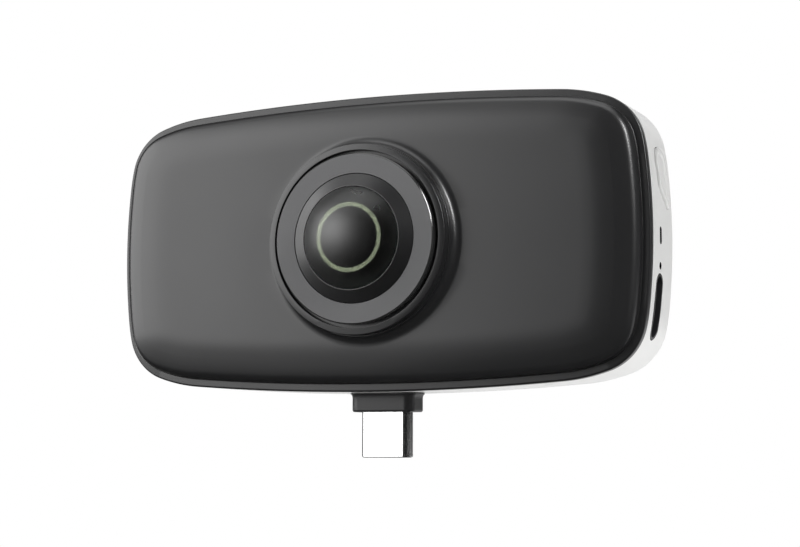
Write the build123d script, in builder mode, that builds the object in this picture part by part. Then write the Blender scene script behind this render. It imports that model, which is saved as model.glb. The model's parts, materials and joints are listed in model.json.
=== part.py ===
"""A pocket 360 degree camera that plugs into a phone, as separate pieces in one frame.

Millimetres. The origin is where the plug leaves its collar. +X is to the right as seen from
the front, +Y runs from the front lens to the rear lens, and +Z is up, from plug to body.
"""
from build123d import *
from math import cos, radians, sin
import os

os.makedirs("parts", exist_ok=True)

# Body outline, seen from the front: a closed chain of tangent arcs
body_width = 86.6
body_height = 44.8
shoulder_radius = 27.2
corner_radius = 8.3
side_angle = 6.3
shoulder_angle = 6.3
corner_angle = 58.3
brow_angle = 14.7

# Depths are measured outwards from the mid plane, towards either lens
lip_depth = 5.8
parting_depth = 4.5
lip_width = 1.23
rim_edge = 0.3
pillow_wall = 0.65
pillow_edge = 1.65
edge_angle = 70
flat_corner = 0.5

# Moulded walls, and the clearances that fits take
side_wall = 1.6
face_wall = 1.4
skirt_height = 1.5
skirt_wall = 0.8
fit_gap = 0.05
bore_gap = 0.1

# Lens collar on each face, and the ring in it
hood_rise = 3.03
hood_wall = 1.65
hood_bevel = 0.65
hood_blend = 1.5
seat_drop = 0.8
seat_floor = 1.3
trim_outer = 12.75
trim_groove = 0.5
trim_rise = 0.65
trim_chamfer = 0.25

# Lens stack: bezel cone, dome, spacer, barrel and the two inner lenses
dome_radius = 7.6
dome_rise = 4.4
dome_skirt = 1.2
bowl_wall = 2.4
bowl_rise = 4.3
bezel_wall = 2.0
bezel_drop = 0.05
bezel_rise = 1.0
spacer_height = 0.5
spacer_lip = 0.3
second_radius = 4.2
second_height = 2.6
second_hollow = 1.4
third_radius = 3.4
third_height = 2.4
third_bulge = 0.5
stop_lip = 0.8
stop_height = 0.6
barrel_flange = 2.0
flange_height = 1.0
neck_wall = 3.1
neck_end_gap = 0.1

# Lens holders, image sensors and their boards, back to back on the mid plate
holder_wall = 1.45
holder_height = 4.8
holder_corner = 1.5
pocket_side = 11.0
pocket_height = 2.1
sensor_width = 9.5
sensor_height = 8.5
sensor_thickness = 1.4
glass_side = 7.0
glass_thickness = 0.3
board_thickness = 0.8
board_ledge = 3.0
plate_thickness = 0.8
plate_margin = 1.5
plate_end_gap = 0.2
plate_corner = 1.0
notch_side_gap = 1.2
notch_end_gap = 0.2

# Main board, to the right of the lenses
board_side_gap = 1.5
board_end_gap = 4.9
board_rim_gap = 6.4
shield_from_left = 2.5
shield_from_right = 6.9
shield_end_gap = 7.5
shield_thickness = 1.5
shield_wall = 0.2
chip_side_share = 0.6
chip_thickness = 0.9

# Battery, to the left of the lenses, between two foam pads
battery_end_gap = 5.3
battery_rim_gap = 7.4
battery_corner = 1.6
pad_thickness = 1.08
pad_margin = 3.0

# Plug collar and the plug that goes into a phone
collar_drop = 2.9
collar_width = 9.8
collar_thickness = 5.0
collar_corner = 1.5
collar_spread = 1.3
collar_flange_height = 1.0
collar_flange_thickness = 5.8
plug_width = 8.25
plug_thickness = 2.4
plug_length = 6.9
plug_wall = 0.25
plug_root = 2.0
mouth_recess = 0.3
mouth_width = 6.9
mouth_thickness = 1.0
mouth_depth = 5.9
contact_count = 12
contact_pitch = 0.5
contact_width = 0.25
contact_thickness = 0.1
contact_length = 4.0
plug_board_width = 7.6
plug_board_gap = 0.75

# What opens in the right side wall, one above the other
port_line = -0.65
slot_length = 9.5
slot_width = 3.4
slot_from_bottom = 11.8
liner_wall = 0.35
port_length = 8.94
port_thickness = 3.26
port_corner = 1.4
port_wall = 0.25
port_depth = 7.3
port_recess = 2.3
port_back = 1.5
tongue_width = 6.7
tongue_thickness = 0.7
tongue_reach = 4.6
led_above_mic = 4.4
led_length = 2.4
led_width = 0.8
led_package = 0.9
pipe_recess = 5.0
pipe_head = 3.2
pipe_shoulder = 0.4
mic_above_slot = 1.15
mic_hole = 0.9
mic_width = 2.6
mic_depth = 2.2
mic_thickness = 1.0
boot_recess = 2.3
boot_thickness = 1.7
pin_hole = 1.2
pin_hole_share = 0.604

# Shutter button, a leaf that narrows towards the rear; shares run from its middle
button_above_led = 8.4
button_height = 9.25
button_width = 4.75
button_line = 1.38
button_gap = 0.12
button_stand = 0.35
button_flange = 0.5
button_round = 0.45
stem_recess = 3.4
leaf_tip_shares = (0.5, -0.5)
leaf_rear_shares = (0.41, 0.20)
leaf_top_shares = (-0.08, 0.5)
leaf_front_shares = (-0.5, 0.11)
leaf_chin_shares = (-0.46, -0.13)

# Push switches under the shutter button and behind the pin hole
switch_depth = 2.6
switch_length = 4.2
switch_thickness = 2.2
switch_recess = 4.2
plunger_radius = 0.6
plunger_root = 0.9
plunger_play = 0.7
reset_below_board = 0.6

# Screws and the bosses that they go into
head_radius = 1.4
head_height = 0.8
screw_radius = 0.7
screw_length = 4.5
boss_radius = 1.7
hole_depth = 4.4
frame_screw_inset = 2.1
sensor_screw_inset = 1.6
sensor_screw_length = 1.5
board_screw_inset = 2.2
board_screw_from_left = 3.7
board_screw_from_right = 5.5

# Flexible circuits
flex_thickness = 0.12
sensor_flex_width = 5.0
sensor_flex_gap = 0.5
flex_landing = 1.8
flex_step = 1.0
side_flex_width = 2.4
side_flex_margin = 2.4
side_flex_gap = 0.3

# All cuts run past the faces that they open by this much
overrun = 1.0

# Body: outline, pillow face and what is inside the shells
half_width = body_width / 2
half_height = body_height / 2
body_centre = collar_drop + half_height
lens_axis = Axis((0, 0, body_centre), (0, 1, 0))
top_angle = 90 - side_angle - shoulder_angle - corner_angle - brow_angle
edge_run = pillow_edge * (1 - cos(radians(edge_angle)))
edge_rise = pillow_wall + pillow_edge * sin(radians(edge_angle))
pillow_run = corner_radius - flat_corner
crown_run = pillow_run - lip_width - edge_run
crown_radius = crown_run / sin(radians(90 - edge_angle))
crown_rise = crown_radius * (1 - cos(radians(90 - edge_angle)))
face_depth = lip_depth + edge_rise + crown_rise
floor_depth = face_depth - face_wall - crown_rise / 2
shelf_depth = lip_depth + edge_rise - face_wall
shelf_inset = lip_width + side_wall
floor_inset = shelf_inset + crown_run / 3

# Lens stack, from the ring inwards
hood_depth = face_depth + hood_rise
hood_bore = trim_outer + trim_groove
hood_radius = hood_bore + hood_wall
seat_depth = hood_depth - seat_drop
trim_depth = hood_depth + trim_rise
bezel_radius = dome_radius + bezel_wall
bezel_rim_depth = trim_depth - bezel_drop
trim_inner = bezel_radius + bore_gap
dome_edge_depth = bezel_rim_depth + bezel_rise
dome_seat_depth = dome_edge_depth - dome_skirt
bowl_radius = dome_radius - bowl_wall
barrel_top = dome_seat_depth - spacer_height
spacer_inner = second_radius - spacer_lip
stop_radius = third_radius - stop_lip
stop_top = barrel_top - second_height
stop_bottom = stop_top - stop_height
flange_radius = bezel_radius + barrel_flange
neck_radius = third_radius + neck_wall
holder_side = (neck_radius + fit_gap + holder_wall) * 2
sensor_board_side = holder_side + board_ledge * 2
sensor_board_depth = plate_thickness / 2
holder_depth = sensor_board_depth + board_thickness
barrel_depth = holder_depth + holder_height

# Mid plate and boards
flange_level = collar_drop + side_wall + bore_gap
plate_width = sensor_board_side + plate_margin * 2
plate_half_height = body_centre - flange_level - collar_flange_height - plate_end_gap
plate_height = plate_half_height * 2
notch_width = plug_board_width + notch_side_gap * 2
notch_height = plate_half_height - sensor_board_side / 2 - notch_end_gap
board_left = plate_width / 2 + board_side_gap
board_right = half_width - board_end_gap
board_half_height = half_height - board_rim_gap
board_front = port_line + port_thickness / 2
board_rear = board_front + board_thickness
plug_board_level = plug_root + fit_gap
plug_board_height = body_centre - sensor_board_side / 2 - plug_board_gap - plug_board_level
side_flex_height = sensor_board_side / 2 + side_flex_margin

# Heights over the body's centre of what opens in the right side wall
slot_height = slot_from_bottom - half_height
mic_height = slot_height + slot_length / 2 + mic_above_slot
led_height = mic_height + led_above_mic
button_middle = led_height + button_above_led
port_mouth = half_width - port_recess
pin_hole_place = board_left + (port_mouth - port_depth - board_left) * pin_hole_share
switch_line = board_front - switch_thickness / 2
plunger_reach = switch_recess - stem_recess
sides = {"front": -1, "rear": 1}


def facing(side, depth):
    """A plane parallel to the body's face, depth outwards from the mid plane, facing out."""
    way = sides[side]
    return Plane(origin=(0, way * depth, body_centre), x_dir=(-way, 0, 0), z_dir=(0, way, 0))


def lens_section(side):
    """The half plane through the lens axis, drawn as radius across and depth upwards."""
    return Plane(origin=(0, 0, body_centre), x_dir=(1, 0, 0), z_dir=(0, 0, sides[side]))


def side_plane(distance):
    """A plane that faces +X, with Y across and the height over the body's centre upwards."""
    return Plane(origin=(distance, 0, body_centre), x_dir=(0, 1, 0), z_dir=(1, 0, 0))


def level(height):
    """A plane that faces up, at a height over the origin."""
    return Plane.XY.offset(height)


def outline_arcs():
    """Centre, radius, first angle and turn of each arc, once round from the right side.

    The side and top radii are the two that make the chain reach the width and the height.
    """
    turns = (side_angle, shoulder_angle, corner_angle, brow_angle, top_angle)
    ends = [radians(sum(turns[:count])) for count in range(len(turns) + 1)]
    across = [cos(a) - cos(b) for a, b in zip(ends, ends[1:])]
    upwards = [sin(b) - sin(a) for a, b in zip(ends, ends[1:])]
    middle = (shoulder_radius, corner_radius, shoulder_radius)
    width_left = half_width - sum(r * run for r, run in zip(middle, across[1:-1]))
    height_left = half_height - sum(r * run for r, run in zip(middle, upwards[1:-1]))
    spread = across[0] * upwards[-1] - across[-1] * upwards[0]
    side_radius = (width_left * upwards[-1] - across[-1] * height_left) / spread
    top_radius = (across[0] * height_left - width_left * upwards[0]) / spread
    half = [(side_radius, side_angle * 2)]
    half += list(zip(middle, turns[1:-1]))
    half += [(top_radius, top_angle * 2)]
    half += list(zip(middle[::-1], turns[-2:0:-1]))
    centre = (half_width - side_radius, 0)
    angle = -side_angle
    arcs = []
    for index, (radius, turn) in enumerate(half + half):
        arcs.append((centre, radius, angle, turn))
        angle = angle + turn
        step = radius - (half + half + half)[index + 1][0]
        centre = (centre[0] + step * cos(radians(angle)), centre[1] + step * sin(radians(angle)))
    return arcs


def outline(inset=0):
    """The body's outline as a sketch, moved inwards by inset."""
    with BuildSketch() as shape:
        with BuildLine():
            for centre, radius, angle, turn in outline_arcs():
                CenterArc(centre, radius - inset, angle, turn)
        make_face()
    return shape.sketch


def profile(points):
    """A closed straight-sided profile as a sketch."""
    with BuildSketch() as shape:
        with BuildLine():
            Polyline(points, close=True)
        make_face()
    return shape.sketch


def pillow_section(radius):
    """The rim of the pillow face: wall, rounded edge and crown, against depth upwards."""
    foot = radius - lip_width
    with BuildSketch() as shape:
        with BuildLine():
            wall = Line((foot, lip_depth - rim_edge), (foot, lip_depth + pillow_wall))
            edge = JernArc(wall @ 1, (0, 1), pillow_edge, edge_angle)
            crown = JernArc(edge @ 1, edge % 1, crown_radius, 90 - edge_angle)
            inner = Line(crown @ 1, (radius - pillow_run, lip_depth - rim_edge))
            Line(inner @ 1, wall @ 0)
        make_face()
    return shape.sketch


def hood_section():
    """The round collar round the lens, with a bevelled edge and a concave foot."""
    with BuildSketch() as shape:
        with BuildLine():
            foot = JernArc((hood_radius, face_depth + hood_blend), (0, -1), hood_blend, 90)
            Polyline(
                foot @ 1,
                (hood_radius + hood_blend, face_depth - face_wall / 2),
                (0, face_depth - face_wall / 2),
                (0, hood_depth),
                (hood_radius - hood_bevel, hood_depth),
                (hood_radius, hood_depth - hood_bevel),
                foot @ 0,
            )
        make_face()
    return shape.sketch


def hood_hollow():
    """The ring's seat, the bore for the lens barrel and the hollow behind them."""
    behind = hood_radius - side_wall
    bore = bezel_radius + bore_gap
    return profile((
        (0, floor_depth - overrun),
        (behind, floor_depth - overrun),
        (behind, seat_depth - seat_floor),
        (bore, seat_depth - seat_floor),
        (bore, seat_depth),
        (hood_bore, seat_depth),
        (hood_bore, hood_depth + overrun),
        (0, hood_depth + overrun),
    ))


def half_shell(side, start, wall):
    """One moulded half: side wall, flat lip, pillow face and lens collar, hollow inside."""
    way = sides[side]
    with BuildPart() as shell:
        with BuildSketch(facing(side, start)):
            add(outline())
        extrude(amount=lip_depth - start)
        rim = shell.faces().sort_by(Axis.Y)[0 if way < 0 else -1]
        fillet(rim.edges(), rim_edge)
        for (across, height), radius, angle, turn in outline_arcs():
            heading = (cos(radians(angle)), 0, sin(radians(angle)))
            hub = (across, 0, body_centre + height)
            section = Plane(origin=hub, x_dir=heading, z_dir=(-way * heading[2], 0, way * heading[0]))
            with BuildSketch(section):
                add(pillow_section(radius))
            revolve(axis=Axis(hub, (0, -1, 0)), revolution_arc=turn)
        with BuildSketch(facing(side, lip_depth - rim_edge)):
            add(outline(pillow_run))
        extrude(amount=face_depth - lip_depth + rim_edge)
        with BuildSketch(lens_section(side)):
            add(hood_section())
        revolve(axis=lens_axis)
        with BuildSketch(facing(side, start)):
            add(outline(wall))
        extrude(amount=lip_depth - face_wall - start, mode=Mode.SUBTRACT)
        with BuildSketch(facing(side, start)):
            add(outline(shelf_inset))
        extrude(amount=shelf_depth - start, mode=Mode.SUBTRACT)
        with BuildSketch(facing(side, start)):
            add(outline(floor_inset))
        extrude(amount=floor_depth - start, mode=Mode.SUBTRACT)
        with BuildSketch(lens_section(side)):
            add(hood_hollow())
        revolve(axis=lens_axis, mode=Mode.SUBTRACT)
    return shell.part


def leaf(grow=0):
    """The shutter button's outline as a sketch, grown by an offset."""
    tip, rear, top, front, chin = [
        (button_line + across * button_width, button_middle + upwards * button_height)
        for across, upwards in (
            leaf_tip_shares, leaf_rear_shares, leaf_top_shares, leaf_front_shares, leaf_chin_shares,
        )
    ]
    with BuildSketch() as shape:
        with BuildLine():
            Line(tip, rear)
            ThreePointArc(rear, top, front)
            Polyline(front, chin, tip)
        make_face()
        fillet(shape.vertices(), button_round)
        if grow:
            offset(amount=grow)
    return shape.sketch


def flex_strip(points, rise):
    """A flexible circuit's bent section: a line on the faces that it runs on, made thick."""
    return profile(list(points) + [(x, y + rise) for x, y in reversed(points)])


def frame_screw_places():
    """Where the mid plate is screwed down, from the lens axis."""
    across = plate_width / 2 - frame_screw_inset
    upwards = plate_half_height - frame_screw_inset
    return [(way * across, other * upwards) for way in (-1, 1) for other in (-1, 1)]


def board_places(way=1):
    """Where the main board is screwed down, from the lens axis; way -1 is for rear planes."""
    upwards = board_half_height - board_screw_inset
    left = board_left + board_screw_from_left
    right = board_right - board_screw_from_right
    return [(way * across, height) for across, height in ((left, upwards), (right, upwards), (left, -upwards))]


def sensor_screw_places():
    """Two corners of a sensor board; seen from each face, so front and rear ones differ."""
    reach = sensor_board_side / 2 - sensor_screw_inset
    return [(reach, reach), (-reach, -reach)]


# Front shell: a black moulding with a skirt that enters the rear housing
with BuildPart() as front_shell:
    add(half_shell("front", parting_depth, shelf_inset))
    with BuildSketch(facing("front", parting_depth - skirt_height)):
        add(outline(side_wall + fit_gap))
        add(outline(side_wall + fit_gap + skirt_wall), mode=Mode.SUBTRACT)
    extrude(amount=skirt_height + rim_edge)
front_shell.part.label = "front_shell"
export_step(front_shell.part, "parts/front_shell.step")

# Rear housing: a white moulding with the whole side wall, its openings and the screw bosses
with BuildPart() as rear_housing:
    add(half_shell("rear", -parting_depth, side_wall))
    with BuildSketch(facing("rear", sensor_board_depth)):
        with Locations(*frame_screw_places()):
            Circle(boss_radius)
    extrude(amount=floor_depth + fit_gap - sensor_board_depth)
    with BuildSketch(facing("rear", sensor_board_depth)):
        with Locations(*frame_screw_places()):
            Circle(screw_radius + fit_gap)
    extrude(amount=hole_depth, mode=Mode.SUBTRACT)
    with BuildSketch(facing("rear", board_rear)):
        with Locations(*board_places(-1)):
            Circle(boss_radius)
    extrude(amount=floor_depth + fit_gap - board_rear)
    with BuildSketch(facing("rear", board_rear)):
        with Locations(*board_places(-1)):
            Circle(screw_radius + fit_gap)
    extrude(amount=hole_depth, mode=Mode.SUBTRACT)
    with BuildSketch(level(collar_drop - overrun)):
        RectangleRounded(
            collar_width + fit_gap * 2, collar_thickness + fit_gap * 2, collar_corner + fit_gap
        )
    extrude(amount=side_wall + overrun * 2, mode=Mode.SUBTRACT)
    with BuildSketch(level(collar_drop - overrun)):
        with Locations((pin_hole_place, switch_line)):
            Circle(pin_hole / 2)
    extrude(amount=side_wall + overrun * 3, mode=Mode.SUBTRACT)
    with BuildSketch(side_plane(half_width + overrun)):
        with Locations((port_line, slot_height)):
            SlotOverall(slot_length, slot_width, rotation=90)
        with Locations((port_line, led_height)):
            SlotOverall(led_length, led_width, rotation=90)
        with Locations((port_line, mic_height)):
            Circle(mic_hole / 2)
        add(leaf(button_gap))
    extrude(amount=-side_wall - overrun * 3, mode=Mode.SUBTRACT)
rear_housing.part.label = "rear_housing"
export_step(rear_housing.part, "parts/rear_housing.step")

# Lens stacks, one on each face
for side in sides:
    with BuildPart() as lens_ring:
        with BuildSketch(lens_section(side)):
            add(profile((
                (trim_inner, seat_depth),
                (trim_outer, seat_depth),
                (trim_outer, trim_depth - trim_chamfer),
                (trim_outer - trim_chamfer, trim_depth),
                (trim_inner, trim_depth),
            )))
        revolve(axis=lens_axis)
    lens_ring.part.label = f"{side}_lens_ring"
    export_step(lens_ring.part, f"parts/{side}_lens_ring.step")

    with BuildPart() as lens_bezel:
        with BuildSketch(lens_section(side)):
            add(profile((
                (dome_radius + fit_gap, barrel_top),
                (bezel_radius, barrel_top),
                (bezel_radius, bezel_rim_depth),
                (dome_radius + fit_gap, dome_edge_depth),
            )))
        revolve(axis=lens_axis)
    lens_bezel.part.label = f"{side}_lens_bezel"
    export_step(lens_bezel.part, f"parts/{side}_lens_bezel.step")

    with BuildPart() as lens_dome:
        cap_radius = (dome_radius ** 2 + dome_rise ** 2) / (dome_rise * 2)
        hollow_radius = (bowl_radius ** 2 + bowl_rise ** 2) / (bowl_rise * 2)
        with BuildSketch(lens_section(side)):
            with BuildLine():
                RadiusArc((0, dome_edge_depth + dome_rise), (dome_radius, dome_edge_depth), cap_radius)
                Polyline(
                    (dome_radius, dome_edge_depth),
                    (dome_radius, dome_seat_depth),
                    (bowl_radius, dome_seat_depth),
                )
                RadiusArc((bowl_radius, dome_seat_depth), (0, dome_seat_depth + bowl_rise), -hollow_radius)
                Line((0, dome_seat_depth + bowl_rise), (0, dome_edge_depth + dome_rise))
            make_face()
        revolve(axis=lens_axis)
    lens_dome.part.label = f"{side}_lens_dome"
    export_step(lens_dome.part, f"parts/{side}_lens_dome.step")

    with BuildPart() as spacer_ring:
        with BuildSketch(facing(side, barrel_top)):
            Circle(dome_radius)
            Circle(spacer_inner, mode=Mode.SUBTRACT)
        extrude(amount=spacer_height)
    spacer_ring.part.label = f"{side}_spacer_ring"
    export_step(spacer_ring.part, f"parts/{side}_spacer_ring.step")

    with BuildPart() as second_lens:
        rest = (spacer_inner, barrel_top)
        hollow_radius = (spacer_inner ** 2 + second_hollow ** 2) / (second_hollow * 2)
        with BuildSketch(lens_section(side)):
            with BuildLine():
                RadiusArc(rest, (0, barrel_top - second_hollow), hollow_radius)
                Polyline(
                    (0, barrel_top - second_hollow),
                    (0, stop_top),
                    (second_radius, stop_top),
                    (second_radius, barrel_top),
                    rest,
                )
            make_face()
        revolve(axis=lens_axis)
    second_lens.part.label = f"{side}_second_lens"
    export_step(second_lens.part, f"parts/{side}_second_lens.step")

    with BuildPart() as third_lens:
        third_bottom = stop_bottom - third_height
        bulge_radius = (stop_radius ** 2 + third_bulge ** 2) / (third_bulge * 2)
        with BuildSketch(lens_section(side)):
            with BuildLine():
                RadiusArc((0, stop_bottom + third_bulge), (stop_radius, stop_bottom), bulge_radius)
                Polyline(
                    (stop_radius, stop_bottom),
                    (third_radius, stop_bottom),
                    (third_radius, third_bottom),
                    (stop_radius, third_bottom),
                )
                RadiusArc((stop_radius, third_bottom), (0, third_bottom - third_bulge), bulge_radius)
                Line((0, third_bottom - third_bulge), (0, stop_bottom + third_bulge))
            make_face()
        revolve(axis=lens_axis)
    third_lens.part.label = f"{side}_third_lens"
    export_step(third_lens.part, f"parts/{side}_third_lens.step")

    with BuildPart() as lens_barrel:
        neck_end = holder_depth + pocket_height + neck_end_gap
        with BuildSketch(lens_section(side)):
            add(profile((
                (third_radius + fit_gap, neck_end),
                (neck_radius, neck_end),
                (neck_radius, barrel_depth),
                (flange_radius, barrel_depth),
                (flange_radius, barrel_depth + flange_height),
                (bezel_radius, barrel_depth + flange_height),
                (bezel_radius, barrel_top),
                (second_radius + fit_gap, barrel_top),
                (second_radius + fit_gap, stop_top),
                (stop_radius, stop_top),
                (stop_radius, stop_bottom),
                (third_radius + fit_gap, stop_bottom),
            )))
        revolve(axis=lens_axis)
    lens_barrel.part.label = f"{side}_lens_barrel"
    export_step(lens_barrel.part, f"parts/{side}_lens_barrel.step")

    with BuildPart() as lens_holder:
        with BuildSketch(facing(side, holder_depth)):
            RectangleRounded(holder_side, holder_side, holder_corner)
        extrude(amount=holder_height)
        with BuildSketch(facing(side, holder_depth)):
            Rectangle(pocket_side, pocket_side)
        extrude(amount=pocket_height, mode=Mode.SUBTRACT)
        with BuildSketch(facing(side, holder_depth + pocket_height)):
            Circle(neck_radius + fit_gap)
        extrude(amount=holder_height, mode=Mode.SUBTRACT)
    lens_holder.part.label = f"{side}_lens_holder"
    export_step(lens_holder.part, f"parts/{side}_lens_holder.step")

    with BuildPart() as image_sensor:
        with BuildSketch(facing(side, holder_depth)):
            Rectangle(sensor_width, sensor_height)
        extrude(amount=sensor_thickness)
    image_sensor.part.label = f"{side}_image_sensor"
    export_step(image_sensor.part, f"parts/{side}_image_sensor.step")

    with BuildPart() as sensor_glass:
        with BuildSketch(facing(side, holder_depth + sensor_thickness)):
            Rectangle(glass_side, glass_side)
        extrude(amount=glass_thickness)
    sensor_glass.part.label = f"{side}_sensor_glass"
    export_step(sensor_glass.part, f"parts/{side}_sensor_glass.step")

    with BuildPart() as sensor_board:
        with BuildSketch(facing(side, sensor_board_depth)):
            Rectangle(sensor_board_side, sensor_board_side)
            with Locations(*sensor_screw_places()):
                Circle(screw_radius + fit_gap, mode=Mode.SUBTRACT)
        extrude(amount=board_thickness)
    sensor_board.part.label = f"{side}_sensor_board"
    export_step(sensor_board.part, f"parts/{side}_sensor_board.step")

    with BuildPart() as sensor_screws:
        with BuildSketch(facing(side, holder_depth)):
            with Locations(*sensor_screw_places()):
                Circle(head_radius)
        extrude(amount=head_height)
        with BuildSketch(facing(side, holder_depth)):
            with Locations(*sensor_screw_places()):
                Circle(screw_radius)
        extrude(amount=-sensor_screw_length)
    sensor_screws.part.label = f"{side}_sensor_screws"
    export_step(sensor_screws.part, f"parts/{side}_sensor_screws.step")

    with BuildPart() as sensor_flex:
        way = sides[side]
        run_face = way * holder_depth
        land_face = board_rear if side == "rear" else board_front
        with BuildSketch(level(body_centre - sensor_flex_width / 2)):
            add(flex_strip((
                (holder_side / 2 + sensor_flex_gap, run_face),
                (board_left - flex_step, run_face),
                (board_left, land_face),
                (board_left + flex_landing, land_face),
            ), way * flex_thickness))
        extrude(amount=sensor_flex_width)
    sensor_flex.part.label = f"{side}_sensor_flex"
    export_step(sensor_flex.part, f"parts/{side}_sensor_flex.step")

# Mid plate that carries both sensor boards
with BuildPart() as mid_plate:
    with BuildSketch(facing("front", -plate_thickness / 2)):
        RectangleRounded(plate_width, plate_height, plate_corner)
        with Locations((0, (notch_height - plate_height) / 2)):
            Rectangle(notch_width, notch_height, mode=Mode.SUBTRACT)
        with Locations(*frame_screw_places()):
            Circle(screw_radius + fit_gap, mode=Mode.SUBTRACT)
        with Locations(*sensor_screw_places()):
            Circle(screw_radius + fit_gap, mode=Mode.SUBTRACT)
        with Locations(*[(-across, height) for across, height in sensor_screw_places()]):
            Circle(screw_radius + fit_gap, mode=Mode.SUBTRACT)
    extrude(amount=plate_thickness)
mid_plate.part.label = "mid_plate"
export_step(mid_plate.part, "parts/mid_plate.step")

with BuildPart() as frame_screws:
    with BuildSketch(facing("front", plate_thickness / 2)):
        with Locations(*frame_screw_places()):
            Circle(head_radius)
    extrude(amount=head_height)
    with BuildSketch(facing("front", plate_thickness / 2)):
        with Locations(*frame_screw_places()):
            Circle(screw_radius)
    extrude(amount=-screw_length)
frame_screws.part.label = "frame_screws"
export_step(frame_screws.part, "parts/frame_screws.step")

# Main board with its screws, shield can and processor
with BuildPart() as main_board:
    with BuildSketch(facing("front", -board_rear)):
        with Locations(((board_left + board_right) / 2, 0)):
            Rectangle(board_right - board_left, board_half_height * 2)
        with Locations(*board_places()):
            Circle(screw_radius + fit_gap, mode=Mode.SUBTRACT)
    extrude(amount=board_thickness)
main_board.part.label = "main_board"
export_step(main_board.part, "parts/main_board.step")

with BuildPart() as board_screws:
    with BuildSketch(facing("front", -board_front)):
        with Locations(*board_places()):
            Circle(head_radius)
    extrude(amount=head_height)
    with BuildSketch(facing("front", -board_front)):
        with Locations(*board_places()):
            Circle(screw_radius)
    extrude(amount=-screw_length)
board_screws.part.label = "board_screws"
export_step(board_screws.part, "parts/board_screws.step")

shield_width = board_right - board_left - shield_from_left - shield_from_right
shield_height = (board_half_height - shield_end_gap) * 2
shield_middle = board_left + shield_from_left + shield_width / 2

with BuildPart() as shield_can:
    with BuildSketch(facing("front", -board_front)):
        with Locations((shield_middle, 0)):
            Rectangle(shield_width, shield_height)
    extrude(amount=shield_thickness)
    with BuildSketch(facing("front", -board_front)):
        with Locations((shield_middle, 0)):
            Rectangle(shield_width - shield_wall * 2, shield_height - shield_wall * 2)
    extrude(amount=shield_thickness - shield_wall, mode=Mode.SUBTRACT)
shield_can.part.label = "shield_can"
export_step(shield_can.part, "parts/shield_can.step")

with BuildPart() as processor:
    with BuildSketch(facing("front", -board_front)):
        with Locations((shield_middle, 0)):
            Rectangle(shield_width * chip_side_share, shield_width * chip_side_share)
    extrude(amount=chip_thickness)
processor.part.label = "processor"
export_step(processor.part, "parts/processor.step")

# Battery, its two foam pads and its flexible lead
battery_width = half_width - battery_end_gap - board_left
battery_height = (half_height - battery_rim_gap) * 2
battery_thickness = (floor_depth - pad_thickness) * 2
battery_middle = -board_left - battery_width / 2

with BuildPart() as battery:
    with BuildSketch(facing("front", -battery_thickness / 2)):
        with Locations((battery_middle, 0)):
            Rectangle(battery_width, battery_height)
    extrude(amount=battery_thickness)
    fillet(battery.edges().filter_by(Axis.Z), battery_corner)
battery.part.label = "battery"
export_step(battery.part, "parts/battery.step")

with BuildPart() as battery_pads:
    with BuildSketch(facing("front", battery_thickness / 2), facing("front", -floor_depth)):
        with Locations((battery_middle, 0)):
            Rectangle(battery_width - pad_margin * 2, battery_height - pad_margin * 2)
    extrude(amount=pad_thickness)
battery_pads.part.label = "battery_pads"
export_step(battery_pads.part, "parts/battery_pads.step")

with BuildPart() as battery_lead:
    with BuildSketch(level(body_centre + side_flex_height - side_flex_width / 2)):
        add(flex_strip((
            (-board_left, sensor_board_depth + side_flex_gap),
            (board_left - flex_step, sensor_board_depth + side_flex_gap),
            (board_left, board_rear),
            (board_left + flex_landing, board_rear),
        ), flex_thickness))
    extrude(amount=side_flex_width)
battery_lead.part.label = "battery_lead"
export_step(battery_lead.part, "parts/battery_lead.step")

# Plug collar: a black block through the bottom wall, with a flange inside
with BuildPart() as plug_collar:
    with BuildSketch(level(0)):
        RectangleRounded(collar_width, collar_thickness, collar_corner)
    extrude(amount=flange_level + collar_flange_height)
    with BuildSketch(level(flange_level)):
        Rectangle(collar_width + collar_spread * 2, collar_flange_thickness)
    extrude(amount=collar_flange_height)
    with BuildSketch(level(0)):
        SlotOverall(plug_width + fit_gap * 2, plug_thickness + fit_gap * 2)
    extrude(amount=flange_level + collar_flange_height, mode=Mode.SUBTRACT)
plug_collar.part.label = "plug_collar"
export_step(plug_collar.part, "parts/plug_collar.step")

with BuildPart() as plug_shell:
    with BuildSketch(level(-plug_length)):
        SlotOverall(plug_width, plug_thickness)
        SlotOverall(plug_width - plug_wall * 2, plug_thickness - plug_wall * 2, mode=Mode.SUBTRACT)
    extrude(amount=plug_length + plug_root)
plug_shell.part.label = "plug_shell"
export_step(plug_shell.part, "parts/plug_shell.step")

with BuildPart() as plug_insert:
    with BuildSketch(level(mouth_recess - plug_length)):
        SlotOverall(
            plug_width - plug_wall * 2 - fit_gap * 2, plug_thickness - plug_wall * 2 - fit_gap * 2
        )
    extrude(amount=plug_length + plug_root - mouth_recess)
    with BuildSketch(level(mouth_recess - plug_length)):
        Rectangle(mouth_width, mouth_thickness)
    extrude(amount=mouth_depth, mode=Mode.SUBTRACT)
plug_insert.part.label = "plug_insert"
export_step(plug_insert.part, "parts/plug_insert.step")

with BuildPart() as plug_contacts:
    contact_offset = (mouth_thickness - contact_thickness) / 2
    with BuildSketch(level(mouth_recess + mouth_depth - plug_length)):
        for line in (-contact_offset, contact_offset):
            with Locations((0, line)):
                with GridLocations(contact_pitch, 0, contact_count, 1):
                    Rectangle(contact_width, contact_thickness)
    extrude(amount=-contact_length)
plug_contacts.part.label = "plug_contacts"
export_step(plug_contacts.part, "parts/plug_contacts.step")

with BuildPart() as plug_board:
    with BuildSketch(level(plug_board_level)):
        Rectangle(plug_board_width, board_thickness)
    extrude(amount=plug_board_height)
plug_board.part.label = "plug_board"
export_step(plug_board.part, "parts/plug_board.step")

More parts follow.
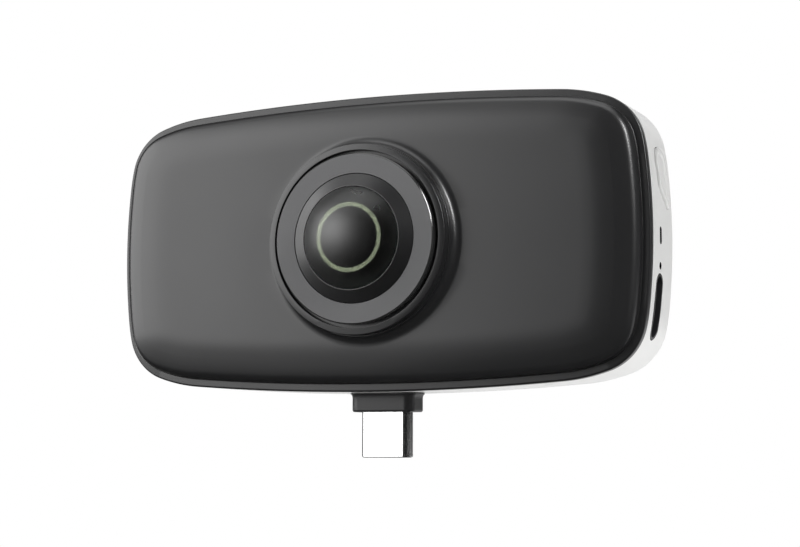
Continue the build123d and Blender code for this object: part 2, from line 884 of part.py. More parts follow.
with BuildPart() as plug_lead:
    with BuildSketch(level(body_centre - side_flex_height - side_flex_width / 2)):
        add(flex_strip((
            (0, board_thickness / 2),
            (board_left - flex_step, board_thickness / 2),
            (board_left, board_rear),
            (board_left + flex_landing, board_rear),
        ), flex_thickness))
    extrude(amount=side_flex_width)
plug_lead.part.label = "plug_lead"
export_step(plug_lead.part, "parts/plug_lead.step")

# Charging port in the right side wall: liner, metal shell, insert and contacts
with BuildPart() as port_liner:
    with BuildSketch(side_plane(port_mouth + fit_gap)):
        with Locations((port_line, slot_height)):
            SlotOverall(slot_length - fit_gap * 2, slot_width - fit_gap * 2, rotation=90)
            SlotOverall(
                slot_length - liner_wall * 2, slot_width - liner_wall * 2, rotation=90, mode=Mode.SUBTRACT
            )
    extrude(amount=port_recess)
    with BuildSketch(facing("rear", -parting_depth)):
        add(outline())
    extrude(amount=parting_depth * 2, mode=Mode.INTERSECT)
port_liner.part.label = "port_liner"
export_step(port_liner.part, "parts/port_liner.step")

with BuildPart() as port_shell:
    with BuildSketch(side_plane(port_mouth)):
        with Locations((port_line, slot_height)):
            RectangleRounded(port_thickness, port_length, port_corner)
            RectangleRounded(
                port_thickness - port_wall * 2,
                port_length - port_wall * 2,
                port_corner - port_wall,
                mode=Mode.SUBTRACT,
            )
    extrude(amount=-port_depth)
port_shell.part.label = "port_shell"
export_step(port_shell.part, "parts/port_shell.step")

with BuildPart() as port_insert:
    with BuildSketch(side_plane(port_mouth - port_depth)):
        with Locations((port_line, slot_height)):
            RectangleRounded(
                port_thickness - port_wall * 2 - fit_gap * 2,
                port_length - port_wall * 2 - fit_gap * 2,
                port_corner - port_wall - fit_gap,
            )
    extrude(amount=port_back)
    with BuildSketch(side_plane(port_mouth - port_depth)):
        with Locations((port_line, slot_height)):
            Rectangle(tongue_thickness, tongue_width)
    extrude(amount=port_back + tongue_reach)
port_insert.part.label = "port_insert"
export_step(port_insert.part, "parts/port_insert.step")

with BuildPart() as port_contacts:
    contact_offset = (tongue_thickness + contact_thickness) / 2
    with BuildSketch(side_plane(port_mouth - port_depth + port_back)):
        for line in (-contact_offset, contact_offset):
            with Locations((port_line + line, slot_height)):
                with GridLocations(0, contact_pitch, 1, contact_count):
                    Rectangle(contact_thickness, contact_width)
    extrude(amount=contact_length)
port_contacts.part.label = "port_contacts"
export_step(port_contacts.part, "parts/port_contacts.step")

# Status light: a clear pipe through the wall, with a head over the light on the board
pipe_end = half_width - pipe_recess

with BuildPart() as light_pipe:
    with BuildSketch(side_plane(pipe_end)):
        with Locations((port_line, led_height)):
            SlotOverall(led_length - fit_gap * 2, led_width - fit_gap * 2, rotation=90)
    extrude(amount=pipe_recess)
    with BuildSketch(facing("rear", -parting_depth)):
        add(outline())
    extrude(amount=parting_depth * 2, mode=Mode.INTERSECT)
    head_front = port_line - led_width / 2 - pipe_shoulder
    with BuildSketch(side_plane(pipe_end)):
        with Locations(((head_front + board_front) / 2, led_height)):
            Rectangle(board_front - head_front, led_length + pipe_shoulder * 2)
    extrude(amount=pipe_head)
light_pipe.part.label = "light_pipe"
export_step(light_pipe.part, "parts/light_pipe.step")

with BuildPart() as status_light:
    with BuildSketch(facing("front", -board_front)):
        with Locations((pipe_end - fit_gap - led_package / 2, led_height)):
            Rectangle(led_package, led_length)
    extrude(amount=led_package)
status_light.part.label = "status_light"
export_step(status_light.part, "parts/status_light.step")

# Microphone on the board, and the rubber boot that leads to its hole in the wall
mic_middle = board_right - mic_depth / 2
boot_end = half_width - boot_recess

with BuildPart() as microphone:
    with BuildSketch(facing("front", -board_front)):
        with Locations((mic_middle, mic_height)):
            Rectangle(mic_depth, mic_width)
    extrude(amount=mic_thickness)
microphone.part.label = "microphone"
export_step(microphone.part, "parts/microphone.step")

with BuildPart() as mic_boot:
    boot_start = board_right - mic_depth
    with BuildSketch(facing("front", mic_thickness - board_front)):
        with Locations(((boot_start + boot_end) / 2, mic_height)):
            Rectangle(boot_end - boot_start, mic_width)
    extrude(amount=boot_thickness)
    with BuildSketch(facing("front", mic_thickness - board_front)):
        with Locations((mic_middle, mic_height)):
            Circle(mic_hole / 2)
    extrude(amount=-port_line - mic_thickness + board_front, mode=Mode.SUBTRACT)
    with BuildSketch(side_plane(boot_end)):
        with Locations((port_line, mic_height)):
            Circle(mic_hole / 2)
    extrude(amount=mic_middle - boot_end, mode=Mode.SUBTRACT)
mic_boot.part.label = "mic_boot"
export_step(mic_boot.part, "parts/mic_boot.step")

# Shutter button: proud of the curved wall by button_stand, held by a flange behind it
with BuildPart() as shutter_button:
    with BuildSketch(side_plane(half_width - stem_recess)):
        add(leaf(button_flange))
    extrude(amount=stem_recess)
    with BuildSketch(facing("rear", -parting_depth)):
        add(outline(side_wall + fit_gap))
    extrude(amount=parting_depth * 2, mode=Mode.INTERSECT)
    with BuildSketch(side_plane(half_width - stem_recess)):
        add(leaf())
    extrude(amount=stem_recess + overrun)
    with BuildSketch(facing("rear", -parting_depth)):
        add(outline(-button_stand))
    extrude(amount=parting_depth * 2, mode=Mode.INTERSECT)
shutter_button.part.label = "shutter_button"
export_step(shutter_button.part, "parts/shutter_button.step")

# Push switch under the shutter button, with a plunger that slides in its case
switch_face = half_width - switch_recess

with BuildPart() as shutter_switch:
    with BuildSketch(side_plane(switch_face)):
        with Locations((switch_line, button_middle)):
            Rectangle(switch_thickness, switch_length)
    extrude(amount=-switch_depth)
    with BuildSketch(side_plane(switch_face)):
        with Locations((switch_line, button_middle)):
            Circle(plunger_radius + fit_gap)
    extrude(amount=-plunger_root - plunger_play, mode=Mode.SUBTRACT)
shutter_switch.part.label = "shutter_switch"
export_step(shutter_switch.part, "parts/shutter_switch.step")

with BuildPart() as shutter_plunger:
    with BuildSketch(side_plane(switch_face - plunger_root)):
        with Locations((switch_line, button_middle)):
            Circle(plunger_radius)
    extrude(amount=plunger_root + plunger_reach)
shutter_plunger.part.label = "shutter_plunger"
export_step(shutter_plunger.part, "parts/shutter_plunger.step")

# Reset switch behind the pin hole in the bottom wall
reset_face = body_centre - board_half_height - reset_below_board

with BuildPart() as reset_switch:
    with BuildSketch(level(reset_face)):
        with Locations((pin_hole_place, switch_line)):
            Rectangle(switch_length, switch_thickness)
    extrude(amount=switch_depth)
    with BuildSketch(level(reset_face)):
        with Locations((pin_hole_place, switch_line)):
            Circle(plunger_radius + fit_gap)
    extrude(amount=plunger_root + plunger_play, mode=Mode.SUBTRACT)
reset_switch.part.label = "reset_switch"
export_step(reset_switch.part, "parts/reset_switch.step")

with BuildPart() as reset_plunger:
    with BuildSketch(level(reset_face - plunger_reach)):
        with Locations((pin_hole_place, switch_line)):
            Circle(plunger_radius)
    extrude(amount=plunger_root + plunger_reach)
reset_plunger.part.label = "reset_plunger"
export_step(reset_plunger.part, "parts/reset_plunger.step")
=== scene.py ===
# %% [markdown]
# # A pocket 360 degree camera, from frame to picture
#
# The real object is a flat, pillow-faced camera about as long as a finger. A black front shell
# closes a white rear housing, each face carries a fisheye lens in a raised collar, and a small
# plug below the body goes into a phone. This lesson dresses the engineering model of it: the
# pieces that catch the light get finer surfaces, worked out as formulas with numpy, and every
# piece gets a material with its own grain.
#
# The first cell loads the engineering model. Its pieces arrive in metres in one shared frame,
# and they are never moved or reshaped here, only given materials or replaced by a finer surface.

# %% Load the frame
import bpy
import json
import numpy as np
from math import cos, pi, radians, sin
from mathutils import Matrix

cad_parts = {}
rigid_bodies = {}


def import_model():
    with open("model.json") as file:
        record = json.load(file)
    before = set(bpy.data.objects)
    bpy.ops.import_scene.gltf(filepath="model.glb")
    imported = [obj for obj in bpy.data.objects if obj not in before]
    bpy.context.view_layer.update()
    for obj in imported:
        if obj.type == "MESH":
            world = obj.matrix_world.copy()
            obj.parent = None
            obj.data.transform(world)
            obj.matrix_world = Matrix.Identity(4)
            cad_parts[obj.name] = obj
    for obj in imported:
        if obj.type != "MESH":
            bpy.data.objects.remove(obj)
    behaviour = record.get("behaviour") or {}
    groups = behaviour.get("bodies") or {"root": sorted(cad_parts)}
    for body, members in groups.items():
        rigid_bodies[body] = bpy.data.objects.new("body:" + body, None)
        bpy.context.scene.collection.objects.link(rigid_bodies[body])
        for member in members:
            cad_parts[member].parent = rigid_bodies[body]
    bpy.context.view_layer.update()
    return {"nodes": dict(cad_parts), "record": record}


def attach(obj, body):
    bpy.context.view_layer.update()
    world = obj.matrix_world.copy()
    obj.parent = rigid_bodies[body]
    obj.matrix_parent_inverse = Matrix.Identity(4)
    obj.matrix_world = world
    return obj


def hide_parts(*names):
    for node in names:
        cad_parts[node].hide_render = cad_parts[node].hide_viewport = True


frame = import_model()
print("pieces in the frame:", len(frame["nodes"]))

# %% [markdown]
# ## The sizes that the surfaces need
#
# All lengths below are in millimetres, and one factor turns them into the frame's metres. They
# repeat the engineering model's driving sizes. Depths are measured outwards from the mid plane
# towards either lens, and insets are measured inwards from the body's outline.

# %% Driving sizes
mm = 0.001
half_width = 43.3
half_height = 22.4
body_centre = 25.3

lip_depth = 5.8
parting_depth = 4.5
lip_width = 1.23
pillow_wall = 0.65
pillow_edge = 1.65
edge_turn = radians(70)
pillow_run = 7.8
side_wall = 1.6
face_wall = 1.4
skirt_height = 1.5
skirt_wall = 0.8
fit_gap = 0.05

hood_rise = 3.03
hood_wall = 1.65
hood_rim_radius = 14.25
hood_rim_fall = 0.14
step_radius = 14.46
step_width = 0.14
step_height = 0.15
foot_start = 15.9
foot_rise = 1.35
seat_drop = 0.8
seat_floor = 1.3
trim_outer = 12.75
trim_groove = 0.5
trim_rise = 0.65
trim_chamfer = 0.18
dome_radius = 7.6
dome_rise = 4.4
bezel_radius = 9.6

# %% [markdown]
# The pillow face is a short wall, a rounded edge and a long shallow crown, one tangent to the
# next. Where each band ends follows from its radius and the angle it turns through, so the
# crown's radius isn't chosen: it is the one that comes out level just where the pillow ends.

# %% Derived sizes
edge_run = pillow_edge * (1 - cos(edge_turn))
edge_rise = pillow_wall + pillow_edge * sin(edge_turn)
crown_run = pillow_run - lip_width - edge_run
crown_radius = crown_run / cos(edge_turn)
crown_rise = crown_radius * (1 - sin(edge_turn))
face_depth = lip_depth + edge_rise + crown_rise
floor_depth = face_depth - face_wall - crown_rise / 2
shelf_depth = lip_depth + edge_rise - face_wall
shelf_inset = lip_width + side_wall
floor_inset = shelf_inset + crown_run / 3

hood_depth = face_depth + hood_rise
hood_bore = trim_outer + trim_groove
hood_radius = hood_bore + hood_wall
seat_depth = hood_depth - seat_drop
trim_depth = hood_depth + trim_rise
trim_inner = bezel_radius + 0.1
print("face %.2f, collar %.2f, ring %.2f mm deep" % (face_depth, hood_depth, trim_depth))

# %% [markdown]
# ## Turning arrays into meshes
#
# Every new surface here is a grid: rows of points, one row for each step along a profile, with
# the same number of points in each row. Faces join each row to the next. The alternative would
# be to model by hand with loops and extrusions, but a grid keeps the exact curvature that a
# glossy moulding needs, and a size can change without any rework.

# %% Grid helper
def grid_faces(rows, columns, close_rows=False):
    """Quads between neighbouring rows; the last column joins the first one.

    With close_rows the last row also joins the first row, as on a ring.
    """
    index = np.arange(rows * columns).reshape(rows, columns)
    index = np.hstack([index, index[:, :1]])
    if close_rows:
        index = np.vstack([index, index[:1]])
    corners = [index[:-1, :-1], index[:-1, 1:], index[1:, 1:], index[1:, :-1]]
    return np.stack(corners, axis=-1).reshape(-1, 4)


def capped_faces(rows, columns):
    """The same quads, with the first and the last row closed by quads from side to side."""
    step = np.arange(columns // 2 - 1)
    ladder = np.column_stack([step, step + 1, columns - 2 - step, columns - 1 - step])
    ends = [ladder[:, ::-1], ladder + (rows - 1) * columns]
    return np.concatenate([grid_faces(rows, columns)] + ends)


# %% [markdown]
# A closed surface has an outside, and its faces must point there. The sum over all faces of the
# volume between the face and the origin is positive when they do, and negative when the grid
# was wound the other way, so the helper measures it and turns the faces round where needed.
#
# The weighted normal modifier then gives large flat faces the say over shading, so small
# rounded edges stay crisp and flats stay flat.

# %% Mesh helpers
sharp_angle = radians(38)
new_pieces = []


def signed_volume(points, faces):
    """A sixth of the sum of a . (b x c) over the two triangles of each quad."""
    corners = points[faces]
    a, b, c, d = corners[:, 0], corners[:, 1], corners[:, 2], corners[:, 3]
    first = np.einsum("ij,ij->i", a, np.cross(b, c)).sum()
    second = np.einsum("ij,ij->i", a, np.cross(c, d)).sum()
    return (first + second) / 6


def grid_mesh(name, grids):
    """One mesh in metres from grids given as (points in mm, quads), all turned outwards."""
    all_points, all_faces, count = [], [], 0
    for points, faces in grids:
        points = points.reshape(-1, 3)
        outwards = faces if signed_volume(points, faces) > 0 else faces[:, ::-1]
        all_points.append(points * mm)
        all_faces.append(outwards + count)
        count += len(points)
    mesh = bpy.data.meshes.new(name)
    mesh.from_pydata(np.concatenate(all_points).tolist(), [], np.concatenate(all_faces).tolist())
    mesh.update()
    return mesh


def smooth_shading(mesh):
    """Shade smoothly, except across edges that turn by more than the sharp angle."""
    mesh.shade_smooth()
    mesh.set_sharp_from_angle(angle=sharp_angle)


def add_piece(name, grid, slot, node, body="camera_body"):
    """Make a grid into a piece that replaces the named node."""
    mesh = grid_mesh(name, [grid])
    smooth_shading(mesh)
    piece = bpy.data.objects.new(name, mesh)
    bpy.context.scene.collection.objects.link(piece)
    weighted = piece.modifiers.new("flats before edges", "WEIGHTED_NORMAL")
    weighted.keep_sharp = True
    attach(piece, body)
    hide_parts(node)
    new_pieces.append((piece, slot))
    print("%s: %d points, %d faces" % (name, len(mesh.vertices), len(mesh.polygons)))
    return piece


# %% [markdown]
# ## Profiles with rounded corners
#
# Moulded and turned edges are never sharp: a round of a tenth of a millimetre is what draws the
# thin bright line along them. This helper takes a corner list with a radius for each corner and
# returns the profile with arcs in place of the corners.

# %% Profile helper
def rounded(corners, steps=4):
    """Replace each corner (u, v, radius) by an arc tangent to both sides.

    The arc starts a distance radius times tan(half the turn) before the corner. Points on it
    are the centre plus the radius times a direction that sweeps from one side's normal to the
    other's.
    """
    line = []
    earlier = corners[-1:] + corners[:-1]
    later = corners[1:] + corners[:1]
    for before, (u, v, radius), after in zip(earlier, corners, later):
        corner = np.array([u, v])
        if radius == 0:
            line.append(corner[None, :])
            continue
        enter = corner - np.array(before[:2])
        leave = np.array(after[:2]) - corner
        enter = enter / np.linalg.norm(enter)
        leave = leave / np.linalg.norm(leave)
        turn = np.arctan2(enter[0] * leave[1] - enter[1] * leave[0], enter @ leave)
        side = np.sign(turn)
        normal = np.array([-enter[1], enter[0]]) * side
        start = corner - enter * radius * np.tan(abs(turn) / 2)
        angles = np.linspace(0, abs(turn), steps + 1)[:, None]
        centre = start + normal * radius
        line.append(centre - normal * radius * np.cos(angles) + enter * radius * np.sin(angles))
    return np.concatenate(line)


# %% [markdown]
# ## The body's outline
#
# Seen from the front the body isn't a plain rounded rectangle. Its sides and its long edges are
# very shallow arcs, and tighter arcs join them. Sixteen tangent arcs describe it exactly, and a
# point on it moved inwards by an inset stays on the same arc's centre, so every ring of the
# shells comes from one formula.

# %% Outline arcs
shoulder_radius = 27.2
corner_radius = 8.3
arc_turns = [radians(turn) for turn in (6.3, 6.3, 58.3, 14.7)]
arc_turns.append(pi / 2 - sum(arc_turns))


def outline_arcs():
    """Centre, radius, first angle and turn of each arc, once round from the right side.

    The five arcs of a quadrant must add up to the half width and the half height, which gives
    two equations for the two shallow radii.
    """
    ends = np.concatenate([[0], np.cumsum(arc_turns)])
    across = np.cos(ends[:-1]) - np.cos(ends[1:])
    upwards = np.sin(ends[1:]) - np.sin(ends[:-1])
    known = np.array([shoulder_radius, corner_radius, shoulder_radius])
    left = [half_width - known @ across[1:4], half_height - known @ upwards[1:4]]
    side_radius, top_radius = np.linalg.solve([[across[0], across[4]], [upwards[0], upwards[4]]], left)
    radii = [side_radius, shoulder_radius, corner_radius, shoulder_radius, top_radius]
    turns = [arc_turns[0] * 2] + arc_turns[1:4] + [arc_turns[4] * 2]
    radii = radii + radii[3:0:-1]
    turns = turns + turns[3:0:-1]
    angle = -arc_turns[0]
    centre = np.array([half_width - side_radius, 0.0])
    arcs = []
    for index in range(len(radii) * 2):
        radius = radii[index % len(radii)]
        turn = turns[index % len(radii)]
        arcs.append((centre, radius, angle, turn))
        angle = angle + turn
        following = radii[(index + 1) % len(radii)]
        centre = centre + (radius - following) * np.array([cos(angle), sin(angle)])
    return arcs


arcs = outline_arcs()
print("outline arcs:", len(arcs), "radii:", sorted({round(float(arc[1]), 1) for arc in arcs}))

# %% [markdown]
# Points are spread along each arc by how much it needs: the tight corners get many for their
# smooth turn, and the long shallow arcs get many because the lens collar in the middle of the
# face takes its roundness from the same columns.

# %% Outline samples
steps_for = {8.3: 22, 27.2: 8}
column_arc, column_angle = [], []
for number, (centre, radius, angle, turn) in enumerate(arcs):
    steps = steps_for.get(round(float(radius), 1), 22 if turn > radians(10) else 64)
    column_arc += [number] * steps
    column_angle += list(angle + turn * np.arange(steps) / steps)
column_angle = np.array(column_angle)
column_centre = np.array([arcs[number][0] for number in column_arc])
column_radius = np.array([arcs[number][1] for number in column_arc])
column_out = np.column_stack([np.cos(column_angle), np.sin(column_angle)])
print("columns round the body:", len(column_angle))


def outline_ring(inset):
    """Centre plus (radius - inset) times the outward direction, for every column."""
    return column_centre + (column_radius - inset)[:, None] * column_out


# %% [markdown]
# ## The height of the pillow face
#
# The face's depth depends only on the distance from the outline, so the shell is one curved
# band swept round. Near the lens collar the rings stop following the outline and turn into
# circles, and there the distance has to be measured: of all the arcs whose own sector holds the
# point, the nearest one counts.

# %% Pillow formula
def distance_in(points):
    """The least radius - |point - centre| among the arcs whose sector holds the point."""
    best = np.full(len(points), np.inf)
    for centre, radius, angle, turn in arcs:
        away = points - centre
        heading = np.mod(np.arctan2(away[:, 1], away[:, 0]) - angle, 2 * pi)
        inside = heading <= turn + 1e-6
        distance = radius - np.hypot(away[:, 0], away[:, 1])
        best = np.where(inside & (distance < best), distance, best)
    return best


def pillow_depth(inset):
    """Depth of the face at an inset: a circle arc for the edge, a larger one for the crown."""
    into_edge = np.clip(inset - lip_width, 0, edge_run)
    edge = np.sqrt(pillow_edge ** 2 - (pillow_edge - into_edge) ** 2)
    into_crown = np.clip(pillow_run - inset, 0, crown_run)
    crown = np.sqrt(crown_radius ** 2 - into_crown ** 2) - crown_radius
    flat = face_depth
    return np.where(inset < lip_width + edge_run, lip_depth + pillow_wall + edge, flat + crown)


samples = pillow_depth(np.array([lip_width, 3.0, 12.0])).round(3)
print("depth at the rim, 3 mm in and in the middle:", samples)

# %% [markdown]
# ## One half of the body as a stack of rings
#
# Both shells have the same pillow and collar, and differ in how far their side wall reaches and
# in what is behind it. The stack starts at the open end of the wall, climbs over the lip, the
# crease and the pillow, becomes circular, climbs the collar through its concave foot, and comes
# back down inside to where it began. It could be built from separate lofts joined by booleans,
# but one continuous stack has no seams to shade wrongly.

# %% Ring stack
rim_round = 0.3
crease_round = 0.12
blend_inset = 4.6


def outline_rows(steps):
    """Rows that follow the outline, one for each (inset, depth) step."""
    rows = []
    for inset, depth in steps:
        flat = outline_ring(inset)
        rows.append(np.column_stack([flat[:, 0], np.full(len(flat), depth), flat[:, 1]]))
    return rows


blend_start = outline_ring(blend_inset)
round_out = blend_start / np.linalg.norm(blend_start, axis=1)[:, None]


def circle_rows(steps):
    """Round rows about the lens axis, one for each (radius, depth) step."""
    rows = []
    for radius, depth in steps:
        flat = round_out * radius
        rows.append(np.column_stack([flat[:, 0], np.full(len(flat), depth), flat[:, 1]]))
    return rows


def face_rows():
    """From the outline to the collar's foot on straight lines, then up the concave foot.

    The foot is a quarter of an ellipse: it adds rise * (1 - cos(a)) of height while the radius
    shrinks by reach * sin(a).
    """
    rows = []
    foot_reach = foot_start - step_radius
    for share in np.linspace(0, 1, 15):
        flat = blend_start * (1 - share) + round_out * foot_start * share
        rows.append((flat, 0.0))
    for angle in np.linspace(0, pi / 2, 12)[1:]:
        flat = round_out * (foot_start - foot_reach * sin(angle))
        rows.append((flat, foot_rise * (1 - cos(angle))))
    return [np.column_stack([flat[:, 0], pillow_depth(distance_in(flat)) + extra, flat[:, 1]])
            for flat, extra in rows]


# %% [markdown]
# The collar's rim falls a little outwards, and its wall has a narrow step halfway down. The
# small rounds at the rim and at the step are the two thin lights along the collar's right side
# in the photograph, and the falling rim is why it is grey on the left and dark on the right.

# %% Half shell
end_round = 0.08
step_round = 0.1
fall_round = 0.13
bore_round = 0.08


def half_shell(side, start, hollow):
    """The ring stack of one half, as points and closed quads; side is -1 for the front."""
    turn = np.linspace(0, pi / 2, 5)
    wall = np.linspace(start, lip_depth - rim_round, 7)[1:-1]
    edge = np.linspace(0, edge_turn, 13)[1:]
    crown = np.linspace(lip_width + edge_run, blend_inset, 11)[1:-1]
    edge_start = lip_depth + pillow_wall
    steps = [(end_round * (1 - sin(a)), start + end_round * (1 - cos(a))) for a in turn]
    steps += [(0, depth) for depth in wall]
    steps += [(rim_round * (1 - cos(a)), lip_depth - rim_round * (1 - sin(a))) for a in turn]
    for a in turn:
        steps.append((lip_width - crease_round * (1 - sin(a)), lip_depth + crease_round * (1 - cos(a))))
    steps.append((lip_width, edge_start))
    for a in edge:
        steps.append((lip_width + pillow_edge * (1 - cos(a)), edge_start + pillow_edge * sin(a)))
    steps += [(inset, float(pillow_depth(inset))) for inset in crown]
    foot_top = face_depth + foot_rise
    collar = rounded([
        (step_radius, foot_top, 0),
        (step_radius, foot_top + step_height, step_round),
        (step_radius - step_width, foot_top + step_height, 0),
        (hood_rim_radius, hood_depth - hood_rim_fall, fall_round),
        (hood_bore, hood_depth, bore_round),
        (hood_bore, seat_depth, 0),
        (trim_inner, seat_depth, 0),
        (trim_inner, seat_depth - seat_floor, 0),
        (hood_radius - side_wall, seat_depth - seat_floor, 0),
        (hood_radius - side_wall, floor_depth, 0),
    ])[1:]
    inside = [(floor_inset, floor_depth), (floor_inset, shelf_depth), (shelf_inset, shelf_depth)]
    rows = outline_rows(steps) + face_rows() + circle_rows(collar) + outline_rows(inside + hollow)
    points = np.stack(rows)
    points[..., 1] *= side
    points[..., 2] += body_centre
    return points, grid_faces(len(rows), len(column_angle), close_rows=True)


# %% [markdown]
# ### The black front shell
#
# A thin skirt at its open end slides into the rear housing, so its stack has a few more rows
# there. It is one closed surface and replaces the engineering model's shell.

# %% Front shell
skirt_outer = side_wall + fit_gap
skirt_inner = skirt_outer + skirt_wall
skirt_end = parting_depth - skirt_height
front_hollow = [
    (shelf_inset, parting_depth),
    (skirt_inner, parting_depth),
    (skirt_inner, skirt_end),
    (skirt_outer, skirt_end),
    (skirt_outer, parting_depth),
]
front_stack = half_shell(-1, parting_depth, front_hollow)
add_piece("front_shell_moulding", front_stack, "black_shell", "front_shell")

# %% [markdown]
# ### The white rear housing
#
# The rear housing carries the whole side wall. Its stack starts at the front shell's edge and
# gets its openings afterwards: a long slot for the charging port, a round hole for the
# microphone, a slit for the status light and a leaf-shaped window for the shutter button in the
# right side, and the plug's collar and a pin hole below.

# %% Rear housing stack
rear_hollow = [
    (shelf_inset, lip_depth - face_wall),
    (side_wall, lip_depth - face_wall),
    (side_wall, -parting_depth),
]
rear_stack = half_shell(1, -parting_depth, rear_hollow)
rear_housing = add_piece("rear_housing_moulding", rear_stack, "white_shell", "rear_housing")

# %% [markdown]
# Each opening is cut with a closed block that follows the wall's own curve. Its outline flares
# a little where it leaves the wall, as the moulding's edge is rounded there. A boolean
# subtraction is right for this, because the holes lie across many rows of the grid.
#
# First the outlines: slots and circles are one formula, two half circles with a straight run
# between, and a rounded box is the same with four quarter circles.

# %% Opening outlines
def slot_outline(across, upwards, corner, steps=10):
    """A box with rounded corners: each quarter circle's centre plus corner radius around it.

    The angles are the middles of equal steps, so two quarters never share a point.
    """
    angles = (np.arange(steps) + 0.5) / steps * pi / 2
    pieces = []
    for quarter, (u, v) in enumerate(((1, 1), (-1, 1), (-1, -1), (1, -1))):
        centre = np.array([u * (across / 2 - corner), v * (upwards / 2 - corner)])
        sweep = angles + quarter * pi / 2
        pieces.append(centre + corner * np.column_stack([np.cos(sweep), np.sin(sweep)]))
    return np.concatenate(pieces)


def grown(outline, amount):
    """Move every point of a closed outline outwards, along the normal of its neighbours."""
    along = np.roll(outline, -1, axis=0) - np.roll(outline, 1, axis=0)
    normal = np.column_stack([along[:, 1], -along[:, 0]])
    normal = normal / np.linalg.norm(normal, axis=1)[:, None]
    return outline + normal * amount


# %% [markdown]
# The shutter button has the outline of a leaf: a long straight front edge, a curved top and a
# pointed tip towards the rear. The points are shares of its height and width, as in the
# engineering model, and each corner gets a small round.

# %% Leaf outline
button_height = 9.25
button_width = 4.75
button_line = 1.38
button_middle = body_centre + 8.1
button_stand = 0.35
button_round = 0.45


def leaf_outline():
    """Corners joined by straight runs, and one arc through three points from rear to front.

    The arc's centre is the point at one distance from all three, from two linear equations.
    """
    middle = np.array([button_line, button_middle])
    size = np.array([button_width, button_height])
    shares = ((0.5, -0.5), (0.41, 0.20), (-0.08, 0.5), (-0.5, 0.11), (-0.46, -0.13))
    tip, rear, top, front, chin = [middle + np.array(share) * size for share in shares]
    centre = np.linalg.solve(
        2 * np.array([top - rear, front - rear]),
        np.array([top @ top - rear @ rear, front @ front - rear @ rear]),
    )
    radius = np.linalg.norm(rear - centre)
    first = np.arctan2(*(rear - centre)[::-1])
    last = np.arctan2(*(front - centre)[::-1])
    sweep = np.linspace(first, first + np.mod(last - first, 2 * pi), 30)[3:-3]
    arc = centre + radius * np.column_stack([np.cos(sweep), np.sin(sweep)])
    corners = [(*tip, button_round), (*rear, button_round)]
    corners += [(u, v, 0) for u, v in arc]
    corners += [(*front, button_round), (*chin, button_round)]
    return rounded(corners, steps=6)


leaf = leaf_outline()
print("leaf outline points:", len(leaf))

# %% [markdown]
# Then the blocks. A block's rows are its outline at growing depth under the wall. Where the
# wall is, it comes from the body outline itself, read at the point's height or width.

# %% Cutting blocks
outer = outline_ring(0)
right_side = outer[(outer[:, 0] > 30) & (np.abs(outer[:, 1]) < 16)]
right_side = right_side[np.argsort(right_side[:, 1])]
underside = outer[(outer[:, 1] < -20) & (np.abs(outer[:, 0]) < 30)]
underside = underside[np.argsort(underside[:, 0])]
block_top = 1.5
block_reach = 2.6
cap_share = 0.001


def in_right_wall(flat, depth):
    """Place (Y, Z) points under the right side wall at a depth."""
    wall = np.interp(flat[:, 1] - body_centre, right_side[:, 1], right_side[:, 0])
    return np.column_stack([wall - depth, flat[:, 0], flat[:, 1]])


def in_underside(flat, depth):
    """Place (X, Y) points over the underside at a depth."""
    wall = np.interp(flat[:, 0], underside[:, 0], underside[:, 1])
    return np.column_stack([flat[:, 0], flat[:, 1], body_centre + wall + depth])


def block(outline, place, edge, spread):
    """A closed block: flared rows over the wall's rounded edge, a straight run, and two caps.

    The first row is well outside, so that the cap also clears the wall where the wall is curved.
    A spread wider than the outline's hollow rounds would make the block cross itself.
    """
    angles = np.radians([22, 45, 68, 90])
    steps = [(edge * (1 - sin(a)), edge * (1 - cos(a))) for a in angles]
    flare = (steps[0][0] + spread * cos(angles[0]), steps[0][1] - spread * sin(angles[0]))
    steps = [(flare[0], -block_top), flare] + steps + [(0, block_reach)]
    rows = [place(grown(outline, grow), depth) for grow, depth in steps]
    middle = outline.mean(axis=0)
    tight = middle + (outline - middle) * cap_share
    rows = [place(tight, -block_top)] + rows + [place(tight, block_reach)]
    return np.stack(rows), capped_faces(len(rows), len(outline))


# %% [markdown]
# Sizes of what opens in the wall: the port's slot, the light's slit and the microphone's hole
# share one line a little in front of the mid plane. Each block has the radius of its rounded
# edge and how far it spreads beyond the wall.

# %% Cut the openings
port_line = -0.65
slot_middle = body_centre - 10.6
slot_length = 9.5
slot_width = 3.4
slot_floor = 40
mic_middle = body_centre - 4.7
mic_hole = 0.9
led_middle = body_centre - 0.3
led_length = 2.4
led_width = 0.8
collar_width = 9.8
collar_thickness = 5.0
collar_corner = 1.2
play = 0.1
pin_place = np.array([25.9, -0.12])
pin_hole = 1.2
button_gap = 0.12

port_slot = slot_outline(slot_width, slot_length, slot_width / 2) + [port_line, slot_middle]
light_slit = slot_outline(led_width, led_length, led_width / 2) + [port_line, led_middle]
mic_round = slot_outline(mic_hole, mic_hole, mic_hole / 2) + [port_line, mic_middle]
collar_window = slot_outline(collar_width + play, collar_thickness + play, collar_corner)
pin_round = slot_outline(pin_hole, pin_hole, pin_hole / 2) + pin_place
blocks = [
    block(port_slot, in_right_wall, edge=0.12, spread=0.3),
    block(light_slit, in_right_wall, edge=0.15, spread=0.3),
    block(mic_round, in_right_wall, edge=0.15, spread=0.15),
    block(grown(leaf, button_gap), in_right_wall, edge=0.06, spread=0.24),
    block(collar_window, in_underside, edge=0.1, spread=0.4),
    block(pin_round, in_underside, edge=0.1, spread=0.4),
]


